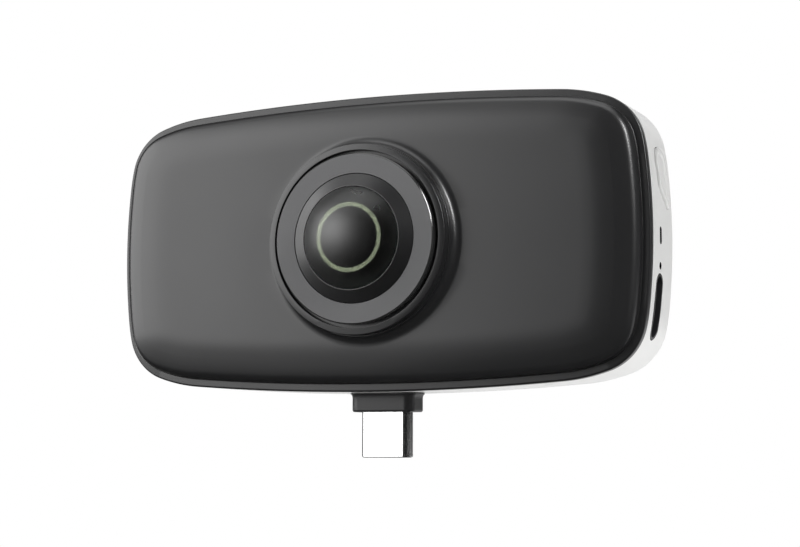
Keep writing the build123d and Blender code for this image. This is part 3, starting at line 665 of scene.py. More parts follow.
def cut(piece, parts):
    """Subtract the blocks from a piece with one exact boolean, and keep the result as its mesh."""
    cutter = bpy.data.objects.new("cutting blocks", grid_mesh("cutting blocks", parts))
    bpy.context.scene.collection.objects.link(cutter)
    weighted = piece.modifiers[0]
    weighted.show_viewport = False
    boolean = piece.modifiers.new("openings", "BOOLEAN")
    boolean.object = cutter
    boolean.solver = "EXACT"
    evaluated = piece.evaluated_get(bpy.context.evaluated_depsgraph_get())
    result = bpy.data.meshes.new_from_object(evaluated)
    piece.modifiers.remove(boolean)
    bpy.data.objects.remove(cutter)
    result.name = piece.data.name
    piece.data = result
    smooth_shading(result)
    weighted.show_viewport = True


before = len(rear_housing.data.polygons)
cut(rear_housing, blocks)
print("rear housing faces before and after:", before, len(rear_housing.data.polygons))

# %% [markdown]
# The slot, the slit and the microphone's hole are black inside. In the slot the black matches
# the port's liner; in the slit and the hole it is painted shade, a dark finish where the deep
# opening stands in shadow. Their faces are found by how deep they lie under the wall, and get a
# second finish when the pieces are dressed.

# %% Faces inside the openings
least_depth = 0.02
slot_margin = 0.05
end_margin = 0.1
centres = np.array([face.center for face in rear_housing.data.polygons]) / mm
wall_there = np.interp(centres[:, 2] - body_centre, right_side[:, 1], right_side[:, 0])
opening_liner_and_shade_faces = wall_there - centres[:, 0] > least_depth
opening_liner_and_shade_faces &= centres[:, 0] > slot_floor
opening_liner_and_shade_faces &= np.abs(centres[:, 1] - port_line) < slot_width / 2 + slot_margin
opening_liner_and_shade_faces &= centres[:, 2] > slot_middle - slot_length / 2 - end_margin
opening_liner_and_shade_faces &= centres[:, 2] < led_middle + led_length / 2 + end_margin
two_tone = [(rear_housing, opening_liner_and_shade_faces, "opening_black")]
print("faces inside the openings:", int(opening_liner_and_shade_faces.sum()))

# %% [markdown]
# ## Turned lens parts
#
# Everything round about the lens axis is a profile turned once round. The helper takes the
# profile as (radius, depth) pairs and spins it as one array product: radius times the circle's
# cosines and sines. Front and rear lens are mirror images, so each part is made twice.

# %% Turning helpers
turn_steps = 192
spin = np.arange(turn_steps) * 2 * pi / turn_steps
sides = {"front": -1, "rear": 1}


def turned(line, side):
    """Each profile point's radius times (cos, sin) of the spin, at its depth; closed to a ring."""
    line = np.asarray(line, dtype=float)
    radius, depth = line[:, 0][:, None], line[:, 1][:, None]
    points = np.stack([
        radius * np.cos(spin),
        np.broadcast_to(side * depth, (len(line), turn_steps)),
        body_centre + radius * np.sin(spin),
    ], axis=-1)
    return points, grid_faces(len(line), turn_steps, close_rows=True)


def turned_pair(part, work, line, slot):
    """The same turned piece at the front and at the rear, each in the place of its node."""
    pair = []
    for name, side in sides.items():
        node = name + "_" + part
        pair.append(add_piece(node + "_" + work, turned(line, side), slot, node))
    return pair


# %% [markdown]
# ### Lens rings
#
# A flat ring of dark anodised aluminium stands just proud of the collar. Its outer corner has a
# polished chamfer, which gives the strongest light on the whole face.

# %% Lens rings
chamfer_round = 0.06
turned_pair("lens_ring", "turned", rounded([
    (trim_inner, seat_depth, 0),
    (trim_outer, seat_depth, 0.05),
    (trim_outer, trim_depth - trim_chamfer, chamfer_round),
    (trim_outer - trim_chamfer, trim_depth, chamfer_round),
    (trim_inner, trim_depth, 0.02),
]), "ring_grey")

# %% [markdown]
# ### Bezels
#
# Inside the ring a glossy black cone rises to the dome. Rounding its top edge is what makes the
# thin light line where the glass leaves it.

# %% Bezels
bezel_drop = 0.05
bezel_rise = 1.0
bezel_lip = 0.12
dome_band = 1.2
spacer_height = 0.5
bezel_rim = trim_depth - bezel_drop
dome_edge = bezel_rim + bezel_rise
dome_seat = dome_edge - dome_band
barrel_top = dome_seat - spacer_height
bezel_bore = dome_radius + fit_gap
turned_pair("lens_bezel", "turned", rounded([
    (bezel_bore, barrel_top, 0),
    (bezel_radius, barrel_top, 0),
    (bezel_radius, bezel_rim, 0.02),
    (bezel_bore + bezel_lip, dome_edge, 0.07),
    (bezel_bore, dome_edge, 0.03),
]), "black_gloss")

# %% [markdown]
# ### Glass domes
#
# The dome is a thick meniscus: a spherical cap outside, a smaller bowl inside and a ground rim.
# Both spheres come from a cap's radius and rise, radius = (r^2 + h^2) / 2h. Both end almost on
# the axis, and a channel far thinner than a hair joins them there, so the grid stays one ring.

# %% Domes
def cap(radius, rise, steps):
    """Points of a spherical cap from its edge to its top, evenly spaced by angle."""
    sphere = (radius ** 2 + rise ** 2) / (2 * rise)
    angles = np.linspace(np.arcsin(radius / sphere), 0.0005, steps)
    return np.column_stack([sphere * np.sin(angles), rise - sphere * (1 - np.cos(angles))])


bowl_radius = 5.3
bowl_edge = 14.4
bowl_top = dome_seat + 4.3
outside = cap(dome_radius, dome_rise, 40) + [0, dome_edge]
inside = cap(bowl_radius, bowl_top - bowl_edge, 28)[::-1] + [0, bowl_edge]
rim = np.array([[bowl_radius, dome_seat], [dome_radius, dome_seat]])
domes = turned_pair("lens_dome", "ground", np.concatenate([outside, inside, rim]), "lens_glass")
for dome in domes:
    inner_faces = np.arange(len(dome.data.polygons)) // turn_steps >= len(outside) - 1
    two_tone.append((dome, inner_faces, "glass_inside"))

# %% [markdown]
# ### Spacer rings
#
# Under the dome a flat spacer carries a thin lip that rises into the glass's hollow. Its top is
# the yellow-green ring that the photograph shows through the dome: how far to the left the ring
# appears tells how high it stands.

# %% Spacer rings
spacer_bore = 3.9
lip_inner = 4.46
lip_outer = 5.16
lip_top = 14.2
spacer_top = dome_seat - 0.01
turned_pair("spacer_ring", "turned", [
    (spacer_bore, barrel_top),
    (dome_radius, barrel_top),
    (dome_radius, spacer_top),
    (lip_outer, spacer_top),
    (lip_outer, lip_top),
    (lip_inner, lip_top),
    (lip_inner, dome_seat),
    (spacer_bore, spacer_top),
], "spacer_olive")

# %% [markdown]
# ## Lofted plug, collar and port
#
# The plug, its collar and the port's metal shell keep one outline while they go up or along, so
# they are rows of a rounded outline, each grown by an offset and placed at a height. Two
# outlines with the same number of points can follow each other in one loft, which is how the
# collar's rectangular outside joins its slot-shaped inside.

# %% Loft helpers
def level(flat, height):
    """Place (X, Y) points at a height."""
    return np.column_stack([flat, np.full(len(flat), height)])


def along_x(flat, across):
    """Place (Y, Z) points at a distance along X."""
    return np.column_stack([np.full(len(flat), across), flat])


def lofted(steps, place):
    """Rows of (outline, grow, height), each outline grown and placed; closed to a ring."""
    rows = [place(grown(outline, grow), height) for outline, grow, height in steps]
    return np.stack(rows), grid_faces(len(rows), len(rows[0]), close_rows=True)


# %% [markdown]
# ### Plug shell
#
# The plug's shell is drawn steel a quarter of a millimetre thick, with its mouth rolled in, and
# it is the standard 8.25 by 2.40 mm. The tongue space and the contacts inside are the
# engineering model's own pieces.

# %% Plug shell
plug_width = 8.25
plug_thickness = 2.4
plug_length = 6.9
plug_root = 2.0
shell_wall = 0.25
plug_outline = slot_outline(plug_width, plug_thickness, plug_thickness / 2, steps=14)
plug_section = rounded([
    (0, plug_root, 0),
    (0, -plug_length, 0.16),
    (-shell_wall, -plug_length, 0.06),
    (-shell_wall, plug_root, 0),
])
plug_rows = [(plug_outline, grow, height) for grow, height in plug_section]
add_piece("plug_shell_drawn", lofted(plug_rows, level), "plug_steel", "plug_shell")

# %% [markdown]
# ### Plug collar
#
# The black collar below the body takes the load when the plug is pushed in. Its lower edge is
# rounded, it overlaps the edge of its hole and widens a little where it meets the housing.
# Inside the body a flange keeps it from being pulled out.

# %% Plug collar
collar_drop = 2.9
collar_top = collar_drop - 0.02
collar_round = 0.3
collar_lap = 0.25
collar_flare = 0.3
flare_start = 2.0
flare_rise = 0.7
flange_reach = 2.6
flange_thickness = 5.8
flange_level = 4.6
flange_top = 5.6
collar_outline = slot_outline(collar_width, collar_thickness, collar_corner, steps=12)
collar_inner = slot_outline(plug_width + play, plug_thickness + play, (plug_thickness + play) / 2, steps=12)
flange_outline = slot_outline(collar_width + flange_reach, flange_thickness, 0.2, steps=12)
quarter_turn = np.linspace(0, pi / 2, 6)
collar_rows = [(collar_inner, 0, 0)]
for a in quarter_turn:
    grow = collar_lap - collar_round * (1 - sin(a))
    collar_rows.append((collar_outline, grow, collar_round * (1 - cos(a))))
collar_rows += [(collar_outline, collar_lap, height) for height in (0.9, 1.5, flare_start)]
for a in quarter_turn[1:]:
    flare = collar_flare * (1 - cos(a))
    collar_rows.append((collar_outline, collar_lap + flare, flare_start + flare_rise * sin(a)))
collar_rows += [(collar_outline, collar_lap + collar_flare, collar_top)]
collar_rows += [(collar_outline, 0, collar_top), (collar_outline, 0, flange_level)]
collar_rows += [(flange_outline, 0, flange_level), (flange_outline, 0, flange_top)]
collar_rows += [(collar_inner, 0, flange_top)]
add_piece("plug_collar_moulding", lofted(collar_rows, level), "black_plastic", "plug_collar")

# %% [markdown]
# ### Charging port
#
# Behind the slot sits the receptacle's steel shell, with its mouth rolled outwards. The black
# liner and the tongue with its contacts are the engineering model's own pieces.

# %% Charging port shell
port_mouth = 41.0
port_back = port_mouth - 7.3
port_outline = slot_outline(3.26, 8.94, 1.4, steps=12) + [port_line, slot_middle]
port_section = rounded([
    (0, port_back, 0),
    (0, port_mouth, 0.08),
    (-shell_wall, port_mouth, 0.14),
    (-shell_wall, port_back, 0),
])
port_rows = [(port_outline, grow, across) for grow, across in port_section]
port_shell = add_piece("port_shell_drawn", lofted(port_rows, along_x), "plug_steel", "port_shell")

# %% [markdown]
# ## Shutter button
#
# The button stands a third of a millimetre proud of the curved wall and follows it, with a
# rounded edge and a shallow thumb rest sunk into it. It rides on its own body, so it moves when
# the joint is pressed. Its rows go up the flange and the stem at growing height, over the
# rounded edge, and then shrink towards the middle of the leaf to make the sunken part.

# %% Shutter button
leaf_middle = leaf.mean(axis=0)
stem_back = half_width - 3.4
flange_front = side_wall + fit_gap
edge_round = 0.2
dish = ((0.13, 0), (0.17, 0.02), (0.22, 0.09), (0.28, 0.16), (0.34, 0.18), (0.6, 0.19), (0.999, 0.19))


def shrunk(outline, share):
    """Points moved towards the leaf's middle by a share of their distance."""
    return leaf_middle + (outline - leaf_middle) * (1 - share)


flange_leaf = grown(leaf, 0.5)
button_rows = [along_x(shrunk(flange_leaf, 1 - cap_share), stem_back), along_x(flange_leaf, stem_back)]
button_rows += [in_right_wall(flange_leaf, flange_front), in_right_wall(leaf, flange_front)]
button_rows += [in_right_wall(leaf, depth) for depth in (0.8, 0.2)]
for a in quarter_turn:
    top = grown(leaf, -edge_round * (1 - cos(a)))
    button_rows.append(in_right_wall(top, edge_round * (1 - sin(a)) - button_stand))
for share, sunk in dish:
    button_rows.append(in_right_wall(shrunk(grown(leaf, -edge_round), share), sunk - button_stand))
button_grid = np.stack(button_rows), capped_faces(len(button_rows), len(leaf))
shutter_button = add_piece(
    "shutter_button_moulding", button_grid, "button_white", "shutter_button", body="shutter_button",
)

# %% [markdown]
# ## Finishes
#
# No moulded or turned surface is one flat colour. Two effects come back in almost every
# finish, so each is a node group with named inputs: a fine grain that breaks up colour, gloss
# and height, and the rings that a lathe leaves. Both read the piece's own object coordinates,
# in metres, so a scale of 2000 means marks of half a millimetre.

# %% Node helpers
def fill(tree, node, inputs):
    """Set a node's inputs, given as (name or number, plain value or another node's socket)."""
    for key, value in inputs:
        if isinstance(value, bpy.types.NodeSocket):
            tree.links.new(value, node.inputs[key])
        else:
            node.inputs[key].default_value = value


def add_node(tree, kind, *inputs, **settings):
    """A shader node of a kind, with its settings and its inputs."""
    node = tree.nodes.new("ShaderNode" + kind)
    for name, value in settings.items():
        setattr(node, name, value)
    fill(tree, node, inputs)
    return node


def result_of(tree, operation, first, second=0.0):
    """The result of one math operation on sockets or plain numbers."""
    return add_node(tree, "Math", (0, first), (1, second), operation=operation).outputs[0]


def mixed(tree, share, first, second, blend="MIX"):
    """The colour between two colours, each a socket or plain."""
    mix = add_node(tree, "Mix", (0, share), (6, first), (7, second), data_type="RGBA", blend_type=blend)
    return mix.outputs[2]


def found(tree, kind):
    """The first node of a kind."""
    return next(node for node in tree.nodes if node.type == kind)


def new_group(name, inputs, outputs):
    """A node group with its coordinates, named numbers with defaults, and number outputs."""
    group = bpy.data.node_groups.new(name, "ShaderNodeTree")
    group.interface.new_socket("Coordinates", in_out="INPUT", socket_type="NodeSocketVector")
    for label, value in inputs:
        socket = group.interface.new_socket(label, in_out="INPUT", socket_type="NodeSocketFloat")
        socket.default_value = value
    for label in outputs:
        group.interface.new_socket(label, in_out="OUTPUT", socket_type="NodeSocketFloat")
    return group, group.nodes.new("NodeGroupInput").outputs, group.nodes.new("NodeGroupOutput")


# %% Fine grain group
grain, given, result = new_group(
    "fine grain",
    [("Scale", 2000.0), ("Mottling", 0.1), ("Roughness", 0.4), ("Roughness change", 0.05)],
    ["Shade", "Roughness", "Height"],
)
where = ("Vector", given["Coordinates"])
fine = add_node(grain, "TexNoise", where, ("Scale", given["Scale"]), ("Detail", 3))
broad_scale = result_of(grain, "MULTIPLY", given["Scale"], 0.04)
broad = add_node(grain, "TexNoise", where, ("Scale", broad_scale), ("Detail", 2))
swing = result_of(grain, "SUBTRACT", broad.outputs["Fac"], 0.5)
shade = result_of(grain, "ADD", result_of(grain, "MULTIPLY", swing, given["Mottling"]), 1.0)
change = result_of(grain, "MULTIPLY", swing, given["Roughness change"])
gloss = result_of(grain, "ADD", given["Roughness"], change)
fill(grain, result, [("Shade", shade), ("Roughness", gloss), ("Height", fine.outputs["Fac"])])
print("node group:", grain.name)

# %% [markdown]
# The lathe's rings are a sine of the distance from the lens axis. The group also gives that
# distance out in millimetres, for finishes that change with it.

# %% Lathe rings group
lathe, given, result = new_group("lathe rings", [("Rings per mm", 8.0)], ["Height", "Radius in mm"])
split = add_node(lathe, "SeparateXYZ", (0, given["Coordinates"]))
across = result_of(lathe, "MULTIPLY", split.outputs[0], 1000.0)
upwards = result_of(lathe, "SUBTRACT", result_of(lathe, "MULTIPLY", split.outputs[2], 1000.0), body_centre)
squares = [result_of(lathe, "POWER", side, 2.0) for side in (across, upwards)]
radius_mm = result_of(lathe, "SQRT", result_of(lathe, "ADD", *squares))
rings_passed = result_of(lathe, "MULTIPLY", radius_mm, given["Rings per mm"])
wave = result_of(lathe, "SINE", result_of(lathe, "MULTIPLY", rings_passed, 2 * pi))
fill(lathe, result, [("Height", wave), ("Radius in mm", radius_mm)])
print("node group:", lathe.name)

# %% [markdown]
# ## One recipe for most finishes
#
# A moulded, plated or painted finish is a Principled shader whose base colour is shaded by the
# grain, whose roughness wanders a little, and whose surface has the grain's height as a bump.
# Plain values such as metalness or index of refraction are set on the shader itself.

# %% Finish helper
def new_material(name):
    """A material with its node tree, its shader and the piece's own coordinates."""
    material = bpy.data.materials.new(name)
    material.use_nodes = True
    tree = material.node_tree
    own_place = ("Coordinates", add_node(tree, "TexCoord").outputs["Object"])
    return material, tree, tree.nodes["Principled BSDF"], own_place


def finish(name, colour, roughness, scale=2500, mottling=0.1, change=0.05, bump=0.00001, **plain):
    """A Principled material with the fine grain group; plain values go on the shader's sockets."""
    material, tree, shader, own_place = new_material(name)
    marks = add_node(
        tree, "Group", own_place, ("Scale", scale), ("Mottling", mottling),
        ("Roughness", roughness), ("Roughness change", change), node_tree=grain,
    ).outputs
    tint = mixed(tree, 1.0, (*colour, 1), marks["Shade"], "MULTIPLY")
    relief = add_node(tree, "Bump", ("Strength", 0.5), ("Distance", bump), ("Height", marks["Height"]))
    fill(tree, shader, [("Base Color", tint), ("Roughness", marks["Roughness"])])
    fill(tree, shader, [("Normal", relief.outputs[0])])
    fill(tree, shader, [(socket.replace("_", " "), value) for socket, value in plain.items()])
    return material


# %% [markdown]
# ### Mouldings
#
# The black shell is satin: it mirrors a soft box as a wide grey gradient. The white housing and
# the button are glossier and slightly warm. The light guide is smoked so dark that it looks
# like an opening, as it does in the photograph.

# %% Moulded finishes
finishes = {
    "black_shell": finish("satin black moulding", (0.011, 0.011, 0.0115), 0.315, bump=0.000004),
    "white_shell": finish("white moulding", (0.80, 0.80, 0.79), 0.30, mottling=0.02, bump=0.000003),
    "button_white": finish("white button", (0.80, 0.80, 0.79), 0.26, mottling=0.02, bump=0.000003),
    "black_gloss": finish(
        "black bezel", (0.006, 0.006, 0.0065), 0.34, change=0.02, bump=0.000001, Specular_IOR_Level=0.65,
    ),
    "black_plastic": finish("black plastic", (0.014, 0.014, 0.015), 0.42, bump=0.000005),
    "barrel_black": finish("black lens barrel", (0.006, 0.006, 0.006), 0.6, Specular_IOR_Level=0.05),
    # Painted shade inside the light's slit and the microphone's hole; in the port's slot it matches the
    # black liner.
    "opening_black": finish("opening liner and painted shade", (0.004, 0.004, 0.004), 0.7, Specular_IOR_Level=0.05),
    "chip_black": finish("chip package", (0.03, 0.03, 0.032), 0.5, scale=6000),
    "foam_black": finish("black foam", (0.035, 0.035, 0.035), 0.9, scale=5000, bump=0.00006),
    "pipe_clear": finish(
        "smoked light guide", (0.004, 0.004, 0.005), 0.5, bump=0.000001, Specular_IOR_Level=0.0,
    ),
}
print("moulded finishes:", len(finishes))

# %% [markdown]
# ### Metals
#
# Steel, tin and gold are the same recipe with metalness set to one. Each row is a slot, a name,
# a colour, a roughness, and how much the grain mottles the colour and changes the gloss.

# %% Metal finishes
metals = (
    ("screw_steel", "plated screw steel", (0.55, 0.55, 0.56), 0.3, 0.1, 0.05),
    ("plate_aluminium", "rolled plate", (0.62, 0.62, 0.62), 0.42, 0.15, 0.05),
    ("shield_steel", "tinned steel", (0.62, 0.62, 0.60), 0.34, 0.2, 0.05),
    ("plug_steel", "bright drawn steel", (0.80, 0.80, 0.80), 0.16, 0.1, 0.03),
    ("contact_gold", "gold plating", (0.83, 0.62, 0.24), 0.25, 0.1, 0.05),
)
for slot, name, colour, roughness, mottling, change in metals:
    finishes[slot] = finish(name, colour, roughness, mottling=mottling, change=change, Metallic=1.0)
finishes["battery_foil"] = finish("battery pouch", (0.34, 0.35, 0.37), 0.45, mottling=0.3, Metallic=0.6)
port_steel = finish("black plated steel", (0.03, 0.03, 0.03), 0.4, Metallic=1.0)
print("finishes so far:", len(finishes))

# %% [markdown]
# ### Anodised ring
#
# The ring is dark anodised aluminium, faced on a lathe. The lathe group's rings are its bump,
# too fine to see one by one, but they spread the highlight. The polished chamfer is darker,
# smoother and less metallic.

# %% Ring finish
def ring_finish():
    """The common recipe, with lathe rings instead of the grain's height."""
    material = finish("dark anodised ring", (0.078, 0.078, 0.08), 0.5, mottling=0.06, Metallic=0.35)
    tree = material.node_tree
    own_place = ("Coordinates", found(tree, "TEX_COORD").outputs["Object"])
    marks = add_node(tree, "Group", own_place, ("Rings per mm", 9.0), node_tree=lathe).outputs
    fill(tree, found(tree, "BUMP"), [("Height", marks["Height"]), ("Distance", 0.000002)])
    edge_radius = trim_outer - trim_chamfer - 0.03
    chamfer = result_of(tree, "GREATER_THAN", marks["Radius in mm"], edge_radius)
    duller = result_of(tree, "SUBTRACT", 0.5, result_of(tree, "MULTIPLY", chamfer, 0.3))
    less_metal = result_of(tree, "SUBTRACT", 0.35, result_of(tree, "MULTIPLY", chamfer, 0.35))
    darker = mixed(tree, chamfer, found(tree, "MIX").outputs[2], (0.015, 0.015, 0.015, 1))
    shader = tree.nodes["Principled BSDF"]
    fill(tree, shader, [("Roughness", duller), ("Metallic", less_metal), ("Base Color", darker)])
    return material


finishes["ring_grey"] = ring_finish()

# %% [markdown]
# ### Glass and what is under it
#
# The dome is clear glass. The inner lenses are glass tinted dark, painted shade for the dark
# inside of the lens. The spacer under the dome is only olive on top of its lip and black
# elsewhere, so its colour is chosen by the distance from the axis.

# %% Glass finish
def glass_finish(name, tint, index, coat, roughness):
    """Glass under a tint: full transmission, and a soft coat that gives the broad grey reflection."""
    material, tree, shader, own_place = new_material(name)
    smear = add_node(
        tree, "Group", own_place, ("Scale", 4000), ("Roughness", roughness),
        ("Roughness change", 0.03), node_tree=grain,
    )
    fill(tree, shader, [("Base Color", (*tint, 1)), ("IOR", index), ("Transmission Weight", 1.0)])
    fill(tree, shader, [("Coat Weight", coat), ("Coat Roughness", 0.5), ("Coat IOR", 1.6)])
    fill(tree, shader, [("Roughness", smear.outputs["Roughness"])])
    return material


finishes["lens_glass"] = glass_finish("coated dome glass", (0.58, 0.63, 0.60), 1.04, 1.0, 0.28)
finishes["glass_inside"] = glass_finish("uncoated dome glass", (0.94, 0.97, 0.95), 1.02, 0.0, 0.04)
# Painted shade: the inner lenses are tinted dark so that the inside of the lens reads as shadow.
inner_glass_painted_shade = glass_finish("inner glass darkened as painted shade", (0.10, 0.12, 0.11), 1.06, 0.0, 0.1)

# %% Spacer finish
def spacer_finish():
    """Olive within a band of radii, black elsewhere, with soft ends to the band."""
    material = finish("olive and black spacer", (0.21, 0.215, 0.155), 0.5, Specular_IOR_Level=0.03)
    tree = material.node_tree
    own_place = ("Coordinates", found(tree, "TEX_COORD").outputs["Object"])
    marks = add_node(tree, "Group", own_place, node_tree=lathe).outputs
    share = result_of(tree, "DIVIDE", marks["Radius in mm"], 10.0)
    band = add_node(tree, "ValToRGB", (0, share))
    stops = band.color_ramp.elements
    stops[0].position, stops[1].position = 0.448, 0.456
    stops[0].color, stops[1].color = (0, 0, 0, 1), (1, 1, 1, 1)
    for position, value in ((0.507, 1), (0.515, 0)):
        stops.new(position).color = (value, value, value, 1)
    olive = found(tree, "MIX").outputs[2]
    chosen = mixed(tree, band.outputs[0], (0.004, 0.004, 0.004, 1), olive)
    fill(tree, tree.nodes["Principled BSDF"], [("Base Color", chosen)])
    return material


finishes["spacer_olive"] = spacer_finish()

# %% [markdown]
# ### Circuit boards and flexible circuits
#
# A board is green solder mask over copper. The copper shows as slightly lighter tracks, which
# a brick pattern gives without any drawing, and the flexible circuits show theirs as amber
# stripes in the same way.

# %% Board finish
def track_finish(name, base, track, scale):
    """Two colours mixed by a brick pattern's mortar, under a thin clear coat."""
    material = finish(name, base, 0.35, mottling=0.12, Coat_Weight=0.4, Coat_Roughness=0.2)
    tree = material.node_tree
    own_place = (0, found(tree, "TEX_COORD").outputs["Object"])
    turn = add_node(tree, "Mapping", own_place, ("Rotation", (pi / 2, 0, 0)))
    black = (0, 0, 0, 1)
    bricks = add_node(
        tree, "TexBrick", ("Vector", turn.outputs[0]), ("Scale", scale), ("Mortar Size", 0.06),
        ("Color1", black), ("Color2", black), ("Mortar", (1, 1, 1, 1)),
    )
    chosen = mixed(tree, bricks.outputs["Color"], found(tree, "MIX").outputs[2], (*track, 1))
    fill(tree, tree.nodes["Principled BSDF"], [("Base Color", chosen)])
    return material


finishes["board_green"] = track_finish("circuit board", (0.015, 0.13, 0.055), (0.03, 0.22, 0.09), 900)
finishes["flex_amber"] = track_finish("flexible circuit", (0.50, 0.25, 0.05), (0.66, 0.40, 0.12), 1500)

# %% [markdown]
# ## Giving every piece its finish
#
# The record names a material slot for every piece, so one loop dresses the engineering model's
# pieces, and the new surfaces take the finish of the piece that they stand for.

# %% Dress every piece
slot_of = {entry["node"]: entry["material_slot"] for entry in frame["record"]["subparts"]}
for name, node in frame["nodes"].items():
    # The inner lenses take the dark glass, painted shade for the lens's inside, in place of their slot's
    # finish.
    inner_lens = name.endswith(("second_lens", "third_lens", "sensor_glass"))
    material = inner_glass_painted_shade if inner_lens else finishes[slot_of[name]]
    if len(node.material_slots) == 0:
        node.data.materials.append(material)
    for holder in node.material_slots:
        holder.material = material
for piece, slot in new_pieces:
    piece.data.materials.clear()
    piece.data.materials.append(port_steel if piece == port_shell else finishes[slot])
for piece, faces, second in two_tone:
    piece.data.materials.append(finishes[second])
    piece.data.polygons.foreach_set("material_index", faces.astype(np.int32))
print("dressed:", len(frame["nodes"]), "frame pieces and", len(new_pieces), "new surfaces")

# %% [markdown]
# ## Stage
#
# The photograph shows the camera in the air before a white ground, so the floor lies well below
# the plug. Floor and world are white to the camera, to reflections and through glass, and
# their light on matt surfaces stays at a plain level.

# %% Floor and world
def white_to_rays(tree, plain, white):
    """Mix a plain shader with a white one wherever a camera, glossy or transmission ray looks."""
    path = tree.nodes.new("ShaderNodeLightPath").outputs
    seen = result_of(tree, "MAXIMUM", path["Is Camera Ray"], path["Is Glossy Ray"])
    seen = result_of(tree, "MAXIMUM", seen, path["Is Transmission Ray"])
    return add_node(tree, "MixShader", (0, seen), (1, plain.outputs[0]), (2, white.outputs[0])).outputs[0]


def stage_plane(name, corners, colour):
    """A flat stage panel through four corners in metres, one plain colour."""
    mesh = bpy.data.meshes.new(name)
    mesh.from_pydata(corners, [], [(0, 1, 2, 3)])
    panel = bpy.data.objects.new(name, mesh)
    bpy.context.scene.collection.objects.link(panel)
    material = bpy.data.materials.new(name)
    material.use_nodes = True
    shader = material.node_tree.nodes["Principled BSDF"]
    fill(material.node_tree, shader, [("Base Color", (colour, colour, colour, 1)), ("Roughness", 1.0)])
    fill(material.node_tree, shader, [("Specular IOR Level", 0.0)])
    mesh.materials.append(material)
    return panel


floor_level = -0.05
reach = 6.0
signs = ((-1, -1), (1, -1), (1, 1), (-1, 1))
floor = stage_plane("floor", [(u * reach, v * reach, floor_level) for u, v in signs], 0.8)
floor_tree = floor.data.materials[0].node_tree
lit = floor_tree.nodes["Principled BSDF"]
glow = add_node(floor_tree, "Emission", ("Strength", 1.0))
spot = add_node(floor_tree, "TexCoord")
distance = add_node(floor_tree, "VectorMath", (0, spot.outputs["Object"]), operation="LENGTH")
fade = add_node(
    floor_tree, "MapRange", ("Value", distance.outputs["Value"]), ("From Min", 0.1), ("From Max", 0.6),
    ("To Min", 0.6), ("To Max", 1.0), interpolation_type="SMOOTHSTEP",
)
half = add_node(
    floor_tree, "MixShader", (0, fade.outputs[0]), (1, lit.outputs[0]), (2, glow.outputs[0]),
)
fill(floor_tree, floor_tree.nodes["Material Output"], [(0, white_to_rays(floor_tree, lit, half))])

world = bpy.context.scene.world or bpy.data.worlds.new("white room")
bpy.context.scene.world = world
world.use_nodes = True
room = world.node_tree
plain_white = ("Color", (1, 1, 1, 1))
dim = room.nodes["Background"]
fill(room, dim, [plain_white, ("Strength", 0.24)])
bright = add_node(room, "Background", plain_white, ("Strength", 1.0))
fill(room, room.nodes["World Output"], [(0, white_to_rays(room, dim, bright))])

# %% [markdown]
# A photographer keeps a black product black with dark cards that only its reflections see. Here
# they stand all round except where the big soft box is, and lie below the front. They are
# hidden from the camera and from all but glossy rays, so they darken reflections and cast no
# shadow.

# %% Dark cards
card_distance = 1.9
card_bottom = -20
card_top = 62
card_level = -0.045
card_edges = (-18, 20, 55, 92, 130, 168)


def dark_card(name, corners):
    """A dark panel that only mirror-like reflections see."""
    card = stage_plane(name, corners, 0.02)
    card.visible_camera = False
    card.visible_diffuse = False
    card.visible_transmission = False
    card.visible_shadow = False


def around(azimuth, elevation, distance):
    """A point seen from the body's middle; azimuth 0 is towards the front lens, 90 the right."""
    angle, height = radians(azimuth), radians(elevation)
    return (
        distance * sin(angle) * cos(height),
        -distance * cos(angle) * cos(height),
        body_centre * mm + distance * sin(height),
    )


card_spans = list(zip(card_edges[:-1], card_edges[1:])) + [(-168, -128), (-128, -89)]
for first, last in card_spans:
    low = [around(angle, card_bottom, card_distance) for angle in (first, last)]
    high = [around(angle, card_top, card_distance) for angle in (last, first)]
    dark_card("dark card at %d degrees" % first, low + high)
lying_cards = (
    ("dark card below", ((-0.5, -0.085), (0.9, -0.085), (0.9, 0.06), (-0.5, 0.06))),
    ("dark card below right", ((-0.35, -1.2), (0.9, -1.2), (0.9, -0.085), (-0.035, -0.085))),
)
for name, corners in lying_cards:
    dark_card(name, [(*corner, card_level) for corner in corners])

# %% [markdown]
# ## Lamps
#
# A large soft box to the front left makes the even grey of the face, and its right edge is
# where the face falls off to black. A narrow strip high on the right draws the lights on the
# pillow's corner and the ring, and a weak overhead one opens the top edge. The fill box on the
# right only lights, so no reflection shows it.

# %% Soft boxes
def soft_box(name, azimuth, elevation, distance, width, height, radiance):
    """A rectangular lamp aimed at the body, with its power worked out from its radiance."""
    lamp = bpy.data.lights.new(name, "AREA")
    lamp.shape = "RECTANGLE"
    lamp.size = width
    lamp.size_y = height
    lamp.energy = radiance * pi * width * height
    holder = bpy.data.objects.new(name, lamp)
    holder.location = around(azimuth, elevation, distance)
    holder.rotation_mode = "XYZ"
    holder.rotation_euler = (radians(90 - elevation), 0, radians(azimuth))
    bpy.context.scene.collection.objects.link(holder)
    return holder


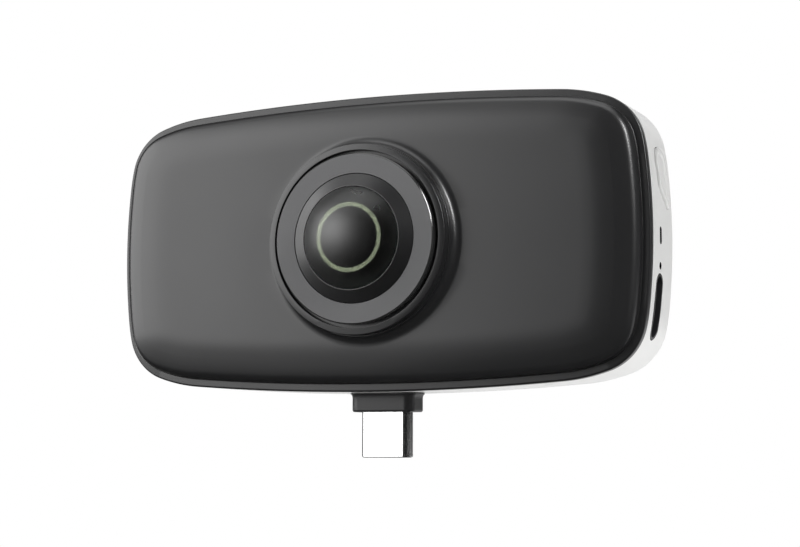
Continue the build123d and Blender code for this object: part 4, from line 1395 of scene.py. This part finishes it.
soft_box("soft box front left", -54, 8, 1.1, 1.28, 1.4, 3.3)
strip = soft_box("strip box right", 66, 32, 1.1, 0.14, 0.5, 48.0)
dome_light = soft_box("soft box for the glass", -24, 10, 1.1, 0.9, 1.0, 3.7)
fill_box = soft_box("fill box right", 105, 12, 1.4, 1.2, 1.0, 2.2)
fill_box.visible_glossy = False
soft_box("overhead box", 0, 80, 1.1, 0.9, 0.6, 1.3)

# %% [markdown]
# The strip would also make a hard spot on each dome and burn out the white wall, which the
# photographer shielded from it, so those pieces are taken out of what it lights. One more soft
# box lights the domes alone and widens the grey gradient on them.

# %% Keep lamps to their pieces
without_strip = bpy.data.collections.new("not lit by the strip")
strip.light_linking.receiver_collection = without_strip
for piece in domes + [rear_housing, shutter_button]:
    without_strip.objects.link(piece)
for entry in without_strip.collection_objects:
    entry.light_linking.link_state = "EXCLUDE"
only_domes = bpy.data.collections.new("lit by the glass's own box")
dome_light.light_linking.receiver_collection = only_domes
for dome in domes:
    only_domes.objects.link(dome)

# %% [markdown]
# ## Camera
#
# The view was worked out from the outline, the lens rings and the plug in the photograph. The
# camera stands low on the right and looks slightly up. Its place, its three angles and its
# focal length are all the numbers there are: no shift, no depth of field.

# %% Camera
yaw, pitch, roll = radians(23.691), radians(5.679), radians(0.089)
look = np.array([-sin(yaw) * cos(pitch), cos(yaw) * cos(pitch), sin(pitch)])
right = np.array([cos(yaw), sin(yaw), 0.0])
above = np.cross(right, look)
turned_right = cos(roll) * right + sin(roll) * above
turned_above = cos(roll) * above - sin(roll) * right
lens = bpy.data.cameras.new("photograph's view")
lens.lens = 82.91
lens.sensor_width = 36.0
lens.clip_start = 0.01
viewer = bpy.data.objects.new("photograph's view", lens)
bpy.context.scene.collection.objects.link(viewer)
pose = np.eye(4)
pose[:3, 0], pose[:3, 1], pose[:3, 2] = turned_right, turned_above, -look
pose[:3, 3] = (0.11472, -0.25686, -0.00676)
viewer.matrix_world = pose.T.tolist()
bpy.context.scene.camera = viewer
bpy.context.scene.view_settings.view_transform = "Standard"
print("camera at", [round(value, 4) for value in viewer.matrix_world.translation])

# %% Update the scene
bpy.context.view_layer.update()
